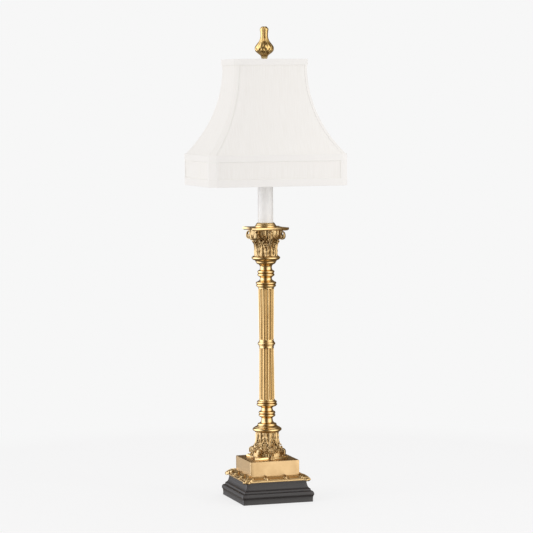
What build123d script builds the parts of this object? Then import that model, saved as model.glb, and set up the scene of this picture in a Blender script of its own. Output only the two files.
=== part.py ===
"""Column table lamp: black moulded base, brass column with two leaf capitals, cut-corner bell shade.

Millimetres, +Z up, origin on the floor at the centre of the base, -Y is the front.
"""
from build123d import *
from math import atan2, cos, degrees, hypot, pi, radians, sin, sqrt
import os

# ---- driving dimensions -------------------------------------------------------------
TOTAL_HEIGHT = 915.0
BASE_SIDE = 140.5
BASE_TOP = 41.5
BOX_SIDE = 98.4
BOX_BOTTOM = 51.0
BOX_TOP = 79.6
TRAY_SIDE = 131.0
SHADE_BOTTOM = 610.5
SHADE_TOP = 852.5
SHADE_WIDE = 273.8
SHADE_DEEP = 189.6
SHADE_TOP_WIDE = 145.2
SHADE_TOP_DEEP = 100.4
CUT_LOW = 11.3
CUT_TOP = 7.3
FLUTES = 16
LEAVES = 8
HARP_HEIGHT = 208.0

# ---- stock and fits -------------------------------------------------------------------
ROD_R = 4.85
ROD_BORE_R = 3.5
PART_BORE_R = 5.2
FELT_THICK = 1.0
FABRIC = 1.2
TAPE = 1.6
SEAM_GAP = 0.25
WIRE_R = 1.3
HARP_WIRE_R = 2.1
SLIDE_GAP = 0.08

# ---- heights up the column ------------------------------------------------------------
FOOT_TOP = 130.6
LOWER_NECK_BOTTOM = 155.4
LOWER_COLLAR_BOTTOM = 177.4
LOWER_SHAFT_BOTTOM = 192.2
RING_BOTTOM = 297.2
RING_TOP = 308.4
UPPER_SHAFT_TOP = 412.4
UPPER_COLLAR_TOP = 428.2
UPPER_BELL_BOTTOM = 451.0
CAPITAL_BOTTOM = 473.6
ABACUS_TOP = 529.2
CUP_TOP = 537.8
SLEEVE_BOTTOM = 532.2
SLEEVE_TOP = 631.7
SADDLE_BOTTOM = 637.2
SADDLE_TOP = 638.6
SOCKET_TOP = 697.0
SWITCH_Z = 663.0
SPIDER_Z = 847.6
FINIAL_BOTTOM = 848.6

# ---- shade curve ----------------------------------------------------------------------
CURVE_TOP = 838.0
GALLERY_TOP = 671.0

PARTS = {}
MIN_Z = (Align.CENTER, Align.CENTER, Align.MIN)


def keep(name, *solids):
    """Hold a node's solids under its name."""
    PARTS[name] = solids[0] if len(solids) == 1 else Compound(children=list(solids))


def turned(*segments):
    """Solid of revolution about Z from the edges of a closed (radius, height) outline."""
    return revolve(make_face(Wire(list(segments))), Axis.Z)


def path(*points):
    """Edges through (radius, height) points; a third value on a point is the sagitta of the arc that
    arrives there, positive when the arc bulges to the left of its direction."""
    edges = []
    ring = list(points) + [points[0]]
    for start, end in zip(ring, ring[1:]):
        a = Vector(start[0], 0, start[1])
        b = Vector(end[0], 0, end[1])
        bulge = end[2] if len(end) > 2 else 0
        if bulge:
            along = (b - a).normalized()
            middle = (a + b) * 0.5 + Vector(-along.Z, 0, along.X) * bulge
            edges.append(ThreePointArc(a, middle, b).edge())
        else:
            edges.append(Line(a, b).edge())
    return edges


def tube(outer, inner, low, high):
    """Plain round tube about Z."""
    body = Pos(0, 0, low) * Cylinder(outer, high - low, align=MIN_Z)
    hole = Pos(0, 0, low - 1) * Cylinder(inner, high - low + 2, align=MIN_Z)
    return body - hole


def bore(radius, low, high):
    """Round cutter about Z."""
    return Pos(0, 0, low) * Cylinder(radius, high - low, align=MIN_Z)


def mitred(half, reach):
    """Square moulding with mitred corners: one half-profile run along X and along Y, and what both share.

    half lists (half side, height[, sagitta]) from the bottom edge up.
    """
    mirror_side = [(-p[0],) + tuple(p[1:]) for p in reversed(half)]
    for i in range(len(mirror_side) - 1, 0, -1):
        mirror_side[i] = mirror_side[i][:2] + tuple(half[len(half) - i][2:])
    mirror_side[0] = mirror_side[0][:2]
    profile = make_face(Wire(path(*(list(half) + mirror_side))))
    along_y = extrude(profile, amount=reach, both=True)
    return along_y & (Rot(0, 0, 90) * along_y)


def octagon(wide, deep, cut):
    """Corner points of a rectangle with cut corners, counter-clockwise from the front right."""
    w = wide / 2
    d = deep / 2
    return [
        (w - cut, -d),
        (w, -d + cut),
        (w, d - cut),
        (w - cut, d),
        (-w + cut, d),
        (-w, d - cut),
        (-w, -d + cut),
        (-w + cut, -d),
    ]


def octagon_band(wide, deep, cut, thick, low, high):
    """Upright band of a cut-corner rectangle: outer size, wall thickness inwards, and its two heights."""
    inner_cut = cut - thick * (2 - sqrt(2))
    outer = make_face(Polyline(*octagon(wide, deep, cut), close=True))
    inner = make_face(Polyline(*octagon(wide - 2 * thick, deep - 2 * thick, inner_cut), close=True))
    return Pos(0, 0, low) * extrude(outer - inner, amount=high - low)


# ---- base --------------------------------------------------------------------------------
RECESS_R = 32.0
RECESS_DEPTH = 17.0
CORD_HOLE_Z = 9.5
BUSHING_R = 5.0
BUSHING_BORE_R = 3.2
BUSHING_LENGTH = 14.0
FLANGE_R = 6.4
FLANGE_SEAT_Y = 68.6


def base_group():
    """Moulded black base with its nut recess, felt, cord bushing and the hardware that clamps the rod."""
    half = BASE_SIDE / 2
    moulding = [
        (half - 1.6, FELT_THICK),
        (half - 0.6, FELT_THICK + 1.2),
        (half - 1.3, 9.0),
        (half, 17.0),
        (half - 4.6, 21.8, -1.7),
        (half - 5.8, 24.0),
        (58.4, 37.0, 2.4),
        (58.2, BASE_TOP),
    ]
    body = mitred(moulding, BASE_SIDE)
    recess = bore(RECESS_R, 0, FELT_THICK + RECESS_DEPTH)
    rod_hole = bore(PART_BORE_R, 0, BASE_TOP + 1)
    cord_way = Pos(0, 0, CORD_HOLE_Z) * Rot(-90, 0, 0) * Cylinder(
        BUSHING_R, BASE_SIDE, align=MIN_Z
    )
    flange_seat = Pos(0, FLANGE_SEAT_Y, CORD_HOLE_Z) * Rot(-90, 0, 0) * Cylinder(FLANGE_R + 0.1, 9, align=MIN_Z)
    keep("wood_base", body - recess - rod_hole - cord_way - flange_seat)
    felt = extrude(RectangleRounded(BASE_SIDE - 7, BASE_SIDE - 7, 5), amount=FELT_THICK)
    keep("base_felt", felt)
    flange = tube(FLANGE_R, BUSHING_BORE_R, 0, 1.8)
    body_tube = tube(BUSHING_R, BUSHING_BORE_R, -BUSHING_LENGTH + 1.8, 0)
    keep("cord_bushing", Pos(0, FLANGE_SEAT_Y, CORD_HOLE_Z) * Rot(-90, 0, 0) * (flange + body_tube))
    recess_roof = FELT_THICK + RECESS_DEPTH
    keep("rod_washer", tube(17.0, PART_BORE_R, recess_roof - 1.6, recess_roof))
    nut = extrude(RegularPolygon(8.1, 6), amount=5.0)
    keep("rod_nut", Pos(0, 0, recess_roof - 6.6) * nut - bore(ROD_R, 0, recess_roof))
    keep("threaded_rod", tube(ROD_R, ROD_BORE_R, recess_roof - 9.0, SADDLE_TOP + 4.0))


# ---- leaf tray and box -------------------------------------------------------------------
TRAY_WALL = 1.8
BOX_WALL = 1.5


def leaf_plate(outline, thick):
    """Cast leaf lying on a slope: a lobed outline, symmetrical about Y, drawn in as it rises."""
    other_half = [(-x, y) for x, y in reversed(outline) if x > 0]
    face = make_face(Polyline(*(outline + other_half), close=True))
    return extrude(face, amount=thick, taper=20)


def tray_group():
    """Brass tray with an ogee slope and cast leaves at its corners and sides, and the box that stands on it."""
    half = TRAY_SIDE / 2
    slope = [
        (half - 1.0, BASE_TOP),
        (half, BASE_TOP + 1.0),
        (half - 0.8, BASE_TOP + 2.4),
        (BOX_SIDE / 2 + 8.0, BASE_TOP + 5.6, -0.9),
        (BOX_SIDE / 2 + 1.0, BOX_BOTTOM, 1.0),
    ]
    outer = mitred(slope, TRAY_SIDE)
    hollow = mitred(
        [
            (half - 8.0, BASE_TOP - 1),
            (half - 10.0, BASE_TOP + 2.6),
            (BOX_SIDE / 2 - 3, BOX_BOTTOM - TRAY_WALL),
        ],
        TRAY_SIDE,
    )
    tray = outer - hollow - bore(PART_BORE_R, 0, 100)
    side_leaf = leaf_plate([(2.6, 0), (6.4, 4.0), (4.8, 8.4), (0, 13.4)], 3.0)
    corner_leaf = leaf_plate([(3.4, 0), (8.8, 6.0), (6.8, 12.4), (0, 20.0)], 3.6)
    leaves = []
    slope_angle = 26
    for quarter in range(4):
        turn = Rot(0, 0, 90 * quarter)
        for x in (-19.5, 19.5):
            place = Pos(x, -half + 13.4, BASE_TOP + 7.2) * Rot(slope_angle, 0, 180)
            leaves.append(turn * place * side_leaf)
        place = Rot(0, 0, 45) * Pos(0, -half * sqrt(2) + 19.0, BASE_TOP + 6.8) * Rot(19, 0, 180)
        leaves.append(turn * place * corner_leaf)
    rested = [leaf - Pos(0, 0, BASE_TOP - 20) * Box(400, 400, 20, align=MIN_Z) for leaf in leaves]
    keep("leaf_tray", tray + rested)
    box = Pos(0, 0, BOX_BOTTOM) * extrude(
        RectangleRounded(BOX_SIDE, BOX_SIDE, 0.8), amount=BOX_TOP - BOX_BOTTOM
    )
    box = chamfer(box.faces().sort_by(Axis.Z)[-1].edges(), 0.7)
    hollow_side = BOX_SIDE - 2 * BOX_WALL
    inside = Pos(0, 0, BOX_BOTTOM - 1) * Box(hollow_side, hollow_side, BOX_TOP - BOX_BOTTOM + 1 - BOX_WALL, align=MIN_Z)
    keep("brass_box", box - inside - bore(PART_BORE_R, 0, 100))


# ---- leaf capitals -----------------------------------------------------------------------
def abacus_face(tip_reach, horn, hollow):
    """Plan of a capital's top slab: four hollow sides between four cut horns."""
    near = (tip_reach - horn / 2) / sqrt(2)
    far = (tip_reach + horn / 2) / sqrt(2)
    edges = []
    for quarter in range(4):
        turn = Rot(0, 0, 90 * quarter)
        horn_start = Vector(near, -far)
        horn_end = Vector(far, -near)
        next_horn = Vector(far, near)
        edges.append((turn * Line(horn_start, horn_end)).edge())
        edges.append((turn * ThreePointArc(horn_end, Vector(far - hollow, 0), next_horn)).edge())
    return make_face(Wire(edges))


def leaf_blade(root_r, tip_r, height, width, thick):
    """One acanthus leaf: it climbs the bell and curls over at its tip, cut to a lobed outline."""
    climb = Polyline(
        (root_r - 2.5, 0, 0),
        (root_r + thick, 0, 0),
        (root_r + thick + 0.6, 0, height * 0.64),
        (tip_r - 0.4, 0, height * 0.84),
        (tip_r, 0, height * 0.94),
        (tip_r - 2.6, 0, height),
        (root_r - 2.5, 0, height * 0.72),
        close=True,
    )
    side = extrude(make_face(climb), amount=width / 2, both=True)
    half = [(0.36, 0), (0.50, 0.32), (0.40, 0.48), (0.46, 0.64), (0.24, 1.02)]
    right = [Vector(0, width * across, height * up) for across, up in half]
    left = [Vector(0, -point.Y, point.Z) for point in reversed(right)]
    outline = extrude(make_face(Polyline(*(right + left), close=True)), amount=60, dir=(1, 0, 0))
    return side & outline


def scroll(eye_r, centre_height, reach, wide):
    """Corner volute: a stalk that rises from the bell and rolls under the abacus horn round its eye."""
    roll = Pos(reach, 0, centre_height) * Rot(90, 0, 0) * Cylinder(eye_r, wide)
    button = Pos(reach, 0, centre_height) * Rot(90, 0, 0) * Cylinder(eye_r * 0.42, wide + 2.0)
    foot_x = reach - eye_r - 12.0
    stalk = Polyline(
        (foot_x, 0, centre_height - 13.5),
        (foot_x + 5.0, 0, centre_height - 13.5),
        (reach + 1.0, 0, centre_height - 2.0),
        (reach + 3.0, 0, centre_height + eye_r + 2.0),
        (foot_x + 5.0, 0, centre_height + eye_r + 1.0),
        close=True,
    )
    web = extrude(make_face(stalk), amount=wide / 2 - 1.6, both=True)
    return roll + button + web


def capital(leaf_height, volute_height, volute_reach, slab_low, slab_high, tip_reach, horn):
    """Leaf capital standing on z = 0: bell, eight leaves, four corner volutes, fleurons and the slab."""
    root_r = 20.6
    neck_r = 30.4
    bell = turned(*path(
        (PART_BORE_R, 0),
        (root_r, 0),
        (root_r, leaf_height * 0.8),
        (neck_r, slab_low - 2.0),
        (neck_r, slab_low + 0.5),
        (PART_BORE_R, slab_low + 0.5),
    ))
    pitch = 2 * pi * 23.5 / LEAVES
    blade = leaf_blade(root_r, 26.4, leaf_height, pitch, 2.2)
    leaves = [Rot(0, 0, 360 / LEAVES * i) * blade for i in range(LEAVES)]
    volute = scroll(5.6, volute_height, volute_reach - 5.6, 9.0)
    volutes = [Rot(0, 0, 45 + 90 * i) * volute for i in range(4)]
    thick = slab_high - slab_low
    slab = Pos(0, 0, slab_low) * extrude(abacus_face(tip_reach, horn, 5.4), amount=thick)
    slab = chamfer(slab.faces().sort_by(Axis.Z)[0].edges(), thick * 0.45)
    flower = Pos(root_r - 1.6, 0, (slab_low + leaf_height) / 2 + 1.0) * Rot(0, 90, 0) * extrude(
        RegularPolygon(6.4, 5), amount=13.5, taper=8
    )
    flowers = [Rot(0, 0, 90 * i) * flower for i in range(4)]
    whole = bell + leaves + volutes + flowers + slab
    return whole - bore(PART_BORE_R, -1, slab_high + 1)


def capital_group():
    """The foot capital stands upside down on the box; the top one carries the candle cup."""
    foot = capital(26.0, 36.4, 42.9, 44.8, FOOT_TOP - BOX_TOP, 44.2, 9.0)
    keep("foot_capital", Pos(0, 0, FOOT_TOP) * Rot(180, 0, 0) * foot)
    top = capital(27.8, 38.0, 43.2, 49.8, ABACUS_TOP - CAPITAL_BOTTOM, 49.4, 10.0)
    keep("top_capital", Pos(0, 0, CAPITAL_BOTTOM) * top)


# ---- turned and fluted column -----------------------------------------------------------
def bead(low, high, radius, edge):
    """Outline of a raised ring: a bevel, the band and a bevel."""
    return [(radius - edge, low), (radius, low + edge), (radius, high - edge), (radius - edge, high)]


def turning(name, low, high, *steps):
    """Turned piece with a rod bore: its outside listed as (radius, height above its foot[, sagitta])."""
    outside = [(step[0], low + step[1]) + tuple(step[2:]) for step in steps]
    keep(name, turned(*path((PART_BORE_R, low), *outside, (PART_BORE_R, high))))


def column_turnings():
    """Turned brass pieces between the capitals, from the bottom up, each seated on the one below."""
    turning(
        "lower_bell", FOOT_TOP, LOWER_NECK_BOTTOM,
        (22.8, 0), (25.2, 1.6), (27.4, 3.4), (27.9, 5.4), (27.2, 7.4), (25.6, 8.6), (20.6, 11.0),
        (18.2, 12.8), (17.6, 16.2), (13.6, 19.2), (11.4, 22.2), (10.9, 24.8),
    )
    turning(
        "lower_neck", LOWER_NECK_BOTTOM, LOWER_COLLAR_BOTTOM,
        (10.9, 0), (11.0, 1.4), (13.8, 4.6), *bead(5.0, 10.0, 15.9, 1.2), *bead(10.6, 15.2, 16.1, 1.2),
        (11.4, 18.6), (10.7, 22.0),
    )
    turning(
        "lower_collar", LOWER_COLLAR_BOTTOM, LOWER_SHAFT_BOTTOM,
        (10.7, 0), (17.4, 4.2), *bead(5.2, 9.6, 19.8, 1.0), *bead(10.2, 14.0, 19.2, 0.9), (16.4, 14.8),
    )
    turning(
        "middle_ring", RING_BOTTOM, RING_TOP,
        (14.5, 0), (14.6, 1.6), (16.2, 3.2), (16.8, 5.6), (16.2, 8.0), (14.6, 9.6), (14.4, 11.2),
    )
    turning(
        "upper_collar", UPPER_SHAFT_TOP, UPPER_COLLAR_TOP,
        (16.8, 0), *bead(1.0, 5.0, 19.5, 1.0), *bead(5.6, 10.6, 20.1, 1.1), (15.4, 13.0), (12.0, 15.8),
    )
    turning(
        "upper_neck", UPPER_COLLAR_TOP, UPPER_BELL_BOTTOM,
        (12.0, 0), (11.6, 1.8), (12.8, 4.9), *bead(6.2, 11.4, 16.2, 1.3), *bead(12.2, 17.0, 16.3, 1.3),
        (12.0, 20.4), (11.5, 22.8),
    )
    turning(
        "upper_bell", UPPER_BELL_BOTTOM, CAPITAL_BOTTOM,
        (11.5, 0), (11.9, 2.0), (17.6, 7.4), (19.3, 11.0), (21.6, 12.4), (21.8, 13.8), (25.2, 15.4),
        (27.0, 17.0), (27.4, 18.8), (27.0, 20.6), (25.4, 21.8), (24.0, 22.6),
    )


def fluted_shaft(low, high, r_low, r_high, plain_low, plain_high):
    """Tapered hollow shaft whose flutes follow its taper and run out in sloped ends."""
    blank = turned(*path((9.6, low), (r_low, low), (r_high, high), (9.6, high)))
    cutter_r = 2.45
    depth = 1.3
    start = Vector(r_low + cutter_r - depth, 0, low + plain_low)
    end = Vector(r_high + cutter_r - depth, 0, high - plain_high)
    lean = degrees(atan2(end.X - start.X, end.Z - start.Z))
    length = hypot(end.X - start.X, end.Z - start.Z)
    run_out = 2 * cutter_r
    side_view = Polyline(
        (-cutter_r, 0, cutter_r),
        (cutter_r, 0, cutter_r - run_out),
        (cutter_r, 0, length - cutter_r + run_out),
        (-cutter_r, 0, length - cutter_r),
        close=True,
    )
    rod = Pos(0, 0, -run_out) * Cylinder(cutter_r, length + 2 * run_out, align=MIN_Z)
    cutter = rod & extrude(make_face(side_view), amount=2 * cutter_r, both=True)
    cutter = Pos(start.X, 0, start.Z) * Rot(0, lean, 0) * cutter
    step = 360 / FLUTES
    return blank - [Rot(0, 0, step * (i + 0.5)) * cutter for i in range(FLUTES)]


def shafts():
    """The two fluted shafts, both slimmest at the middle ring."""
    keep("lower_shaft", fluted_shaft(LOWER_SHAFT_BOTTOM, RING_BOTTOM, 15.1, 14.1, 0.2, 1.6))
    keep("upper_shaft", fluted_shaft(RING_TOP, UPPER_SHAFT_TOP, 14.1, 15.3, 0.4, 1.4))


# ---- candle, socket and bulb -------------------------------------------------------------
SLEEVE_R = 14.6
SLEEVE_WALL = 1.2
SHELL_R = 17.0


def candle_group():
    """Candle cup and sleeve, the disc and nut that hold them, and the socket on the rod's end."""
    keep("candle_cup", turned(*path(
        (PART_BORE_R, ABACUS_TOP),
        (20.6, ABACUS_TOP),
        (19.8, ABACUS_TOP + 2.4),
        (17.2, ABACUS_TOP + 4.8),
        (16.8, CUP_TOP - 0.9),
        (15.8, CUP_TOP),
        (SLEEVE_R + 0.1, CUP_TOP),
        (SLEEVE_R + 0.1, SLEEVE_BOTTOM),
        (PART_BORE_R, SLEEVE_BOTTOM),
    )))
    keep("candle_sleeve", tube(SLEEVE_R, SLEEVE_R - SLEEVE_WALL, SLEEVE_BOTTOM, SLEEVE_TOP))
    keep("sleeve_cap", tube(SLEEVE_R, PART_BORE_R, SLEEVE_TOP, SLEEVE_TOP + 1.5))
    nut = Pos(0, 0, SLEEVE_TOP + 1.5) * extrude(RegularPolygon(8.1, 6), amount=SADDLE_BOTTOM - SLEEVE_TOP - 1.5)
    keep("lock_nut", nut - bore(ROD_R, SLEEVE_TOP, SADDLE_TOP))
    keep("socket_cap", turned(*path(
        (ROD_R, SADDLE_TOP),
        (7.4, SADDLE_TOP),
        (7.4, SADDLE_TOP + 2.6),
        (SHELL_R - 2.6, SADDLE_TOP + 5.0),
        (SHELL_R + 0.7, SADDLE_TOP + 9.0),
        (SHELL_R + 0.7, SADDLE_TOP + 17.4),
        (SHELL_R, SADDLE_TOP + 17.4),
        (SHELL_R, SADDLE_TOP + 9.6),
        (SHELL_R - 3.2, SADDLE_TOP + 6.0),
        (ROD_R, SADDLE_TOP + 4.6),
    )))
    stem_hole = Pos(0, 0, SWITCH_Z) * Rot(90, 0, 0) * Cylinder(2.4, 40, align=MIN_Z)
    shell = turned(*path(
        (SHELL_R - 0.7, SADDLE_TOP + 10.4),
        (SHELL_R, SADDLE_TOP + 10.4),
        (SHELL_R, SOCKET_TOP - 3.0),
        (SHELL_R + 0.9, SOCKET_TOP),
        (SHELL_R + 0.2, SOCKET_TOP),
        (SHELL_R - 0.7, SOCKET_TOP - 3.0),
    ))
    keep("socket_shell", shell - stem_hole)
    liner = tube(SHELL_R - 0.7, SHELL_R - 1.7, SADDLE_TOP + 12.0, SOCKET_TOP - 1.0)
    keep("socket_liner", liner - stem_hole)
    block = bore(SHELL_R - 1.7, SADDLE_TOP + 12.0, SWITCH_Z + 5.0)
    stem_bore = Pos(0, -6, SWITCH_Z) * Rot(90, 0, 0) * Cylinder(1.9, 40, align=MIN_Z)
    keep("socket_block", block - stem_bore)
    floor_z = SWITCH_Z + 5.0
    keep("socket_screw_shell", tube(13.7, 13.1, floor_z, SOCKET_TOP - 3.0))
    keep("centre_contact", turned(*path(
        (0, floor_z),
        (3.4, floor_z),
        (2.4, floor_z + 1.4),
        (0, floor_z + 1.4),
    )))


KNOB_NEAR = 20.5
KNOB_FAR = 35.0


def switch_group():
    """Turn knob with a paddle-shaped grip, on its stem."""
    stem = Cylinder(1.8, KNOB_NEAR - 8.0, align=MIN_Z)
    keep("switch_stem", Pos(0, -8.0, SWITCH_Z) * Rot(90, 0, 0) * stem)
    grip = turned(*path((0, 0), (4.6, 0), (6.2, 1.6), (6.2, 10.0), (4.2, KNOB_FAR - KNOB_NEAR, -0.9),
                        (0, KNOB_FAR - KNOB_NEAR)))
    flats = [Pos(side * 9.2, 0, 3.4) * Box(10, 20, 20, align=MIN_Z) for side in (-1, 1)]
    keep("switch_knob", Pos(0, -KNOB_NEAR, SWITCH_Z) * Rot(90, 0, 0) * (grip - flats))


BULB_TOP = 776.0
BULB_R = 30.0


def bulb_group():
    """Medium screw-base bulb: contact, screw cap and glass."""
    seat = SWITCH_Z + 5.0 + 1.5
    keep("bulb_contact", turned(*path((0, seat), (3.0, seat), (4.4, seat + 1.4), (0, seat + 1.4))))
    cap_low = seat + 1.4
    cap_high = cap_low + 25.0
    keep("bulb_cap", turned(*path(
        (0, cap_low),
        (4.4, cap_low),
        (9.0, cap_low + 2.6),
        (13.0, cap_low + 5.2),
        (13.0, cap_high),
        (12.2, cap_high),
        (12.2, cap_low + 6.0),
        (0, cap_low + 3.4),
    )))
    glass_low = cap_high - 5.0
    centre = BULB_TOP - BULB_R
    shoulder = radians(40)
    keep("bulb_glass", turned(*path(
        (0, glass_low),
        (12.1, glass_low),
        (12.1, cap_high),
        (15.0, cap_high + 12.0),
        (BULB_R * cos(shoulder), centre - BULB_R * sin(shoulder)),
        (0, BULB_TOP, -BULB_R * (1 - cos((shoulder + pi / 2) / 2))),
    )))


# ---- harp ----------------------------------------------------------------------------------
HARP_FOOT_X = 27.0
HARP_WIDE_X = 48.0
STUB_TOP = SADDLE_TOP + 10.6
HARP_TOP = SADDLE_BOTTOM + HARP_HEIGHT - HARP_WIRE_R
FERRULE_LOW = SADDLE_TOP + 2.4
FERRULE_LENGTH = 14.0
STUD_R = 3.1


def harp_group():
    """Bent harp wire on its saddle, held by two sliding ferrules, with the finial stud riveted on top."""
    strip = Pos(0, 0, SADDLE_BOTTOM) * extrude(
        RectangleRounded(2 * HARP_FOOT_X + 7, 11, 3), amount=SADDLE_TOP - SADDLE_BOTTOM
    )
    stub_foot = SADDLE_TOP - 0.7
    stub = Cylinder(HARP_WIRE_R, STUB_TOP - stub_foot, align=MIN_Z)
    stubs = [Pos(side * HARP_FOOT_X, 0, stub_foot) * stub for side in (-1, 1)]
    keep("harp_saddle", strip + stubs - bore(PART_BORE_R, SADDLE_BOTTOM - 1, SADDLE_TOP + 1))
    right = [
        (HARP_FOOT_X, 0, STUB_TOP),
        (HARP_FOOT_X, 0, SADDLE_TOP + 48),
        (HARP_WIDE_X, 0, SADDLE_TOP + 92),
        (HARP_WIDE_X, 0, SADDLE_TOP + 134),
        (21.0, 0, HARP_TOP),
    ]
    left = [(-x, y, z) for x, y, z in reversed(right)]
    bends = [36, 60, 60, 20, 20, 60, 60, 36]
    route = FilletPolyline(*(right + left), radius=bends)
    start = Plane(origin=right[0], z_dir=(0, 0, 1))
    keep("harp", sweep(start * Circle(HARP_WIRE_R), path=route))
    for name, side in (("harp_sleeve_right", 1), ("harp_sleeve_left", -1)):
        sleeve = tube(3.3, HARP_WIRE_R + SLIDE_GAP, FERRULE_LOW, FERRULE_LOW + FERRULE_LENGTH)
        keep(name, Pos(side * HARP_FOOT_X, 0, 0) * sleeve)
    rest = HARP_TOP + HARP_WIRE_R
    shoulder = SPIDER_Z - 0.85
    tip = FINIAL_BOTTOM + 10.4
    stud = turned(*path(
        (0, rest - 0.9),
        (7.0, rest - 0.9),
        (7.0, shoulder),
        (STUD_R, shoulder),
        (STUD_R, tip),
        (0, tip),
    ))
    keep("harp_stud", stud - Pos(0, 0, HARP_TOP) * Rot(0, 90, 0) * Cylinder(HARP_WIRE_R, 40))


# ---- shade -------------------------------------------------------------------------------
def swell(z, half_top, half_low):
    """Half size of the shade at a height: upright at the top, then an arc that sweeps out to the gallery."""
    drop = CURVE_TOP - GALLERY_TOP
    spread = half_low - half_top
    radius = (drop * drop + spread * spread) / (2 * spread)
    fall = min(max(CURVE_TOP - z, 0.0), drop)
    return half_top + radius - sqrt(radius * radius - fall * fall)


def half_wide(z):
    """Half the shade's width at a height."""
    return swell(z, SHADE_TOP_WIDE / 2, SHADE_WIDE / 2)


def half_deep(z):
    """Half the shade's depth at a height."""
    return swell(z, SHADE_TOP_DEEP / 2, SHADE_DEEP / 2)


def cut(z):
    """Leg of the cut corner at a height, growing with the sweep."""
    share = (half_wide(z) - SHADE_TOP_WIDE / 2) / (SHADE_WIDE - SHADE_TOP_WIDE) * 2
    return CUT_TOP + (CUT_LOW - CUT_TOP) * share


def swept_panel(half, half_run):
    """Fabric panel: an arc-shaped wall run sideways and trimmed to the seams on its two edges."""
    heights = (GALLERY_TOP, (GALLERY_TOP + CURVE_TOP) / 2, CURVE_TOP, SHADE_TOP)

    outer = [Vector(0, -half(z), z) for z in heights]
    inner = [Vector(0, FABRIC - half(z), z) for z in heights]
    wall = [
        ThreePointArc(*outer[:3]).edge(),
        Line(outer[2], outer[3]).edge(),
        Line(outer[3], inner[3]).edge(),
        Line(inner[3], inner[2]).edge(),
        ThreePointArc(inner[2], inner[1], inner[0]).edge(),
        Line(inner[0], outer[0]).edge(),
    ]
    run = extrude(make_face(Wire(wall)), amount=200, both=True, dir=(1, 0, 0))
    rim = []
    for side in (1, -1):
        seam = [Vector(side * (half_run(z) - cut(z)), 0, z) for z in heights]
        rim.append(ThreePointArc(*seam[:3]).edge())
        rim.append(Line(seam[2], seam[3]).edge())
    for z in (GALLERY_TOP, SHADE_TOP):
        reach = half_run(z) - cut(z)
        rim.append(Line(Vector(-reach, 0, z), Vector(reach, 0, z)).edge())
    window = extrude(make_face(Wire(rim)), amount=150, dir=(0, -1, 0))
    return run & window


def corner_strip():
    """Narrow fabric strip across the front right cut corner, lofted through level sections."""
    sections = []
    for share in (0, 0.25, 0.5, 0.75, 1.0):
        z = GALLERY_TOP + (CURVE_TOP - GALLERY_TOP) * share
        left = half_wide(z) - cut(z) + SEAM_GAP
        right = half_wide(z)
        near = -half_deep(z)
        far = near + cut(z) - SEAM_GAP
        quad = Polyline(
            (left, near + SEAM_GAP, z),
            (right - SEAM_GAP, far, z),
            (right - FABRIC, far, z),
            (left, near + FABRIC, z),
            close=True,
        )
        sections.append(make_face(quad))
    swept = loft(sections, ruled=False)
    return swept + extrude(sections[-1], amount=SHADE_TOP - CURVE_TOP, dir=(0, 0, 1))


def wire_ring(z, wide, deep, corner):
    """Level frame wire bent to the cut-corner outline."""
    points = [(x, y, z) for x, y in octagon(wide, deep, corner)]
    middle = (0, -deep / 2, z)
    route = Polyline(middle, *points, close=True)
    start = Plane(origin=middle, z_dir=(1, 0, 0))
    return sweep(start * Circle(WIRE_R), path=route, transition=Transition.RIGHT)


def shade_frame():
    """Welded wire frame: spider, three level rings and a bent rib behind each cut corner."""
    inset = FABRIC + WIRE_R + 0.05
    top_half_w = SHADE_TOP_WIDE / 2 - inset
    top_half_d = SHADE_TOP_DEEP / 2 - inset
    ring_z = SHADE_TOP - 2.0
    keep("top_ring", wire_ring(ring_z, 2 * top_half_w, 2 * top_half_d, CUT_TOP - 0.6))
    low_w = SHADE_WIDE - 2 * inset
    low_d = SHADE_DEEP - 2 * inset
    keep("gallery_ring", wire_ring(GALLERY_TOP - 2.0, low_w, low_d, CUT_LOW - 1.2))
    keep("bottom_ring", wire_ring(SHADE_BOTTOM + 3.0, low_w, low_d, CUT_LOW - 1.2))
    hub = tube(10.5, 3.7, SPIDER_Z - 0.75, SPIDER_Z + 0.75)
    arms = []
    for turn, reach in ((0, top_half_w), (90, top_half_d), (180, top_half_w), (270, top_half_d)):
        run = reach - WIRE_R - 8.0
        rise = ring_z - SPIDER_Z
        tilt = degrees(atan2(rise, run))
        rod = Cylinder(WIRE_R - 0.2, hypot(run, rise), align=MIN_Z)
        arms.append(Rot(0, 0, turn) * Pos(8.0, 0, SPIDER_Z) * Rot(0, 90 - tilt, 0) * rod)
    spider = hub + arms
    keep("spider", spider - bore(3.7, SPIDER_Z - 5, SPIDER_Z + 5))
    ribs = []
    low_z = SHADE_BOTTOM + 3.0 + WIRE_R
    for side_x, side_y in ((1, -1), (-1, -1), (-1, 1), (1, 1)):
        spots = []
        for z in (GALLERY_TOP + 1.0, (GALLERY_TOP + CURVE_TOP) / 2, SHADE_TOP - 4.5):
            w, d, c = half_wide(z) - inset - 0.6, half_deep(z) - inset - 0.6, cut(z) * 0.5
            spots.append(Vector(side_x * (w - c), side_y * (d - c), z))
        route = ThreePointArc(*spots)
        bar = Plane(origin=spots[0], z_dir=(route % 0)) * Rectangle(1.8, 1.8)
        ribs.append(sweep(bar, path=route))
        w, d, c = SHADE_WIDE / 2 - inset - 0.6, SHADE_DEEP / 2 - inset - 0.6, CUT_LOW * 0.5
        post = Box(1.8, 1.8, GALLERY_TOP - 2.0 - WIRE_R - low_z, align=MIN_Z)
        ribs.append(Pos(side_x * (w - c), side_y * (d - c), low_z) * post)
    keep("shade_ribs", *ribs)


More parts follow.
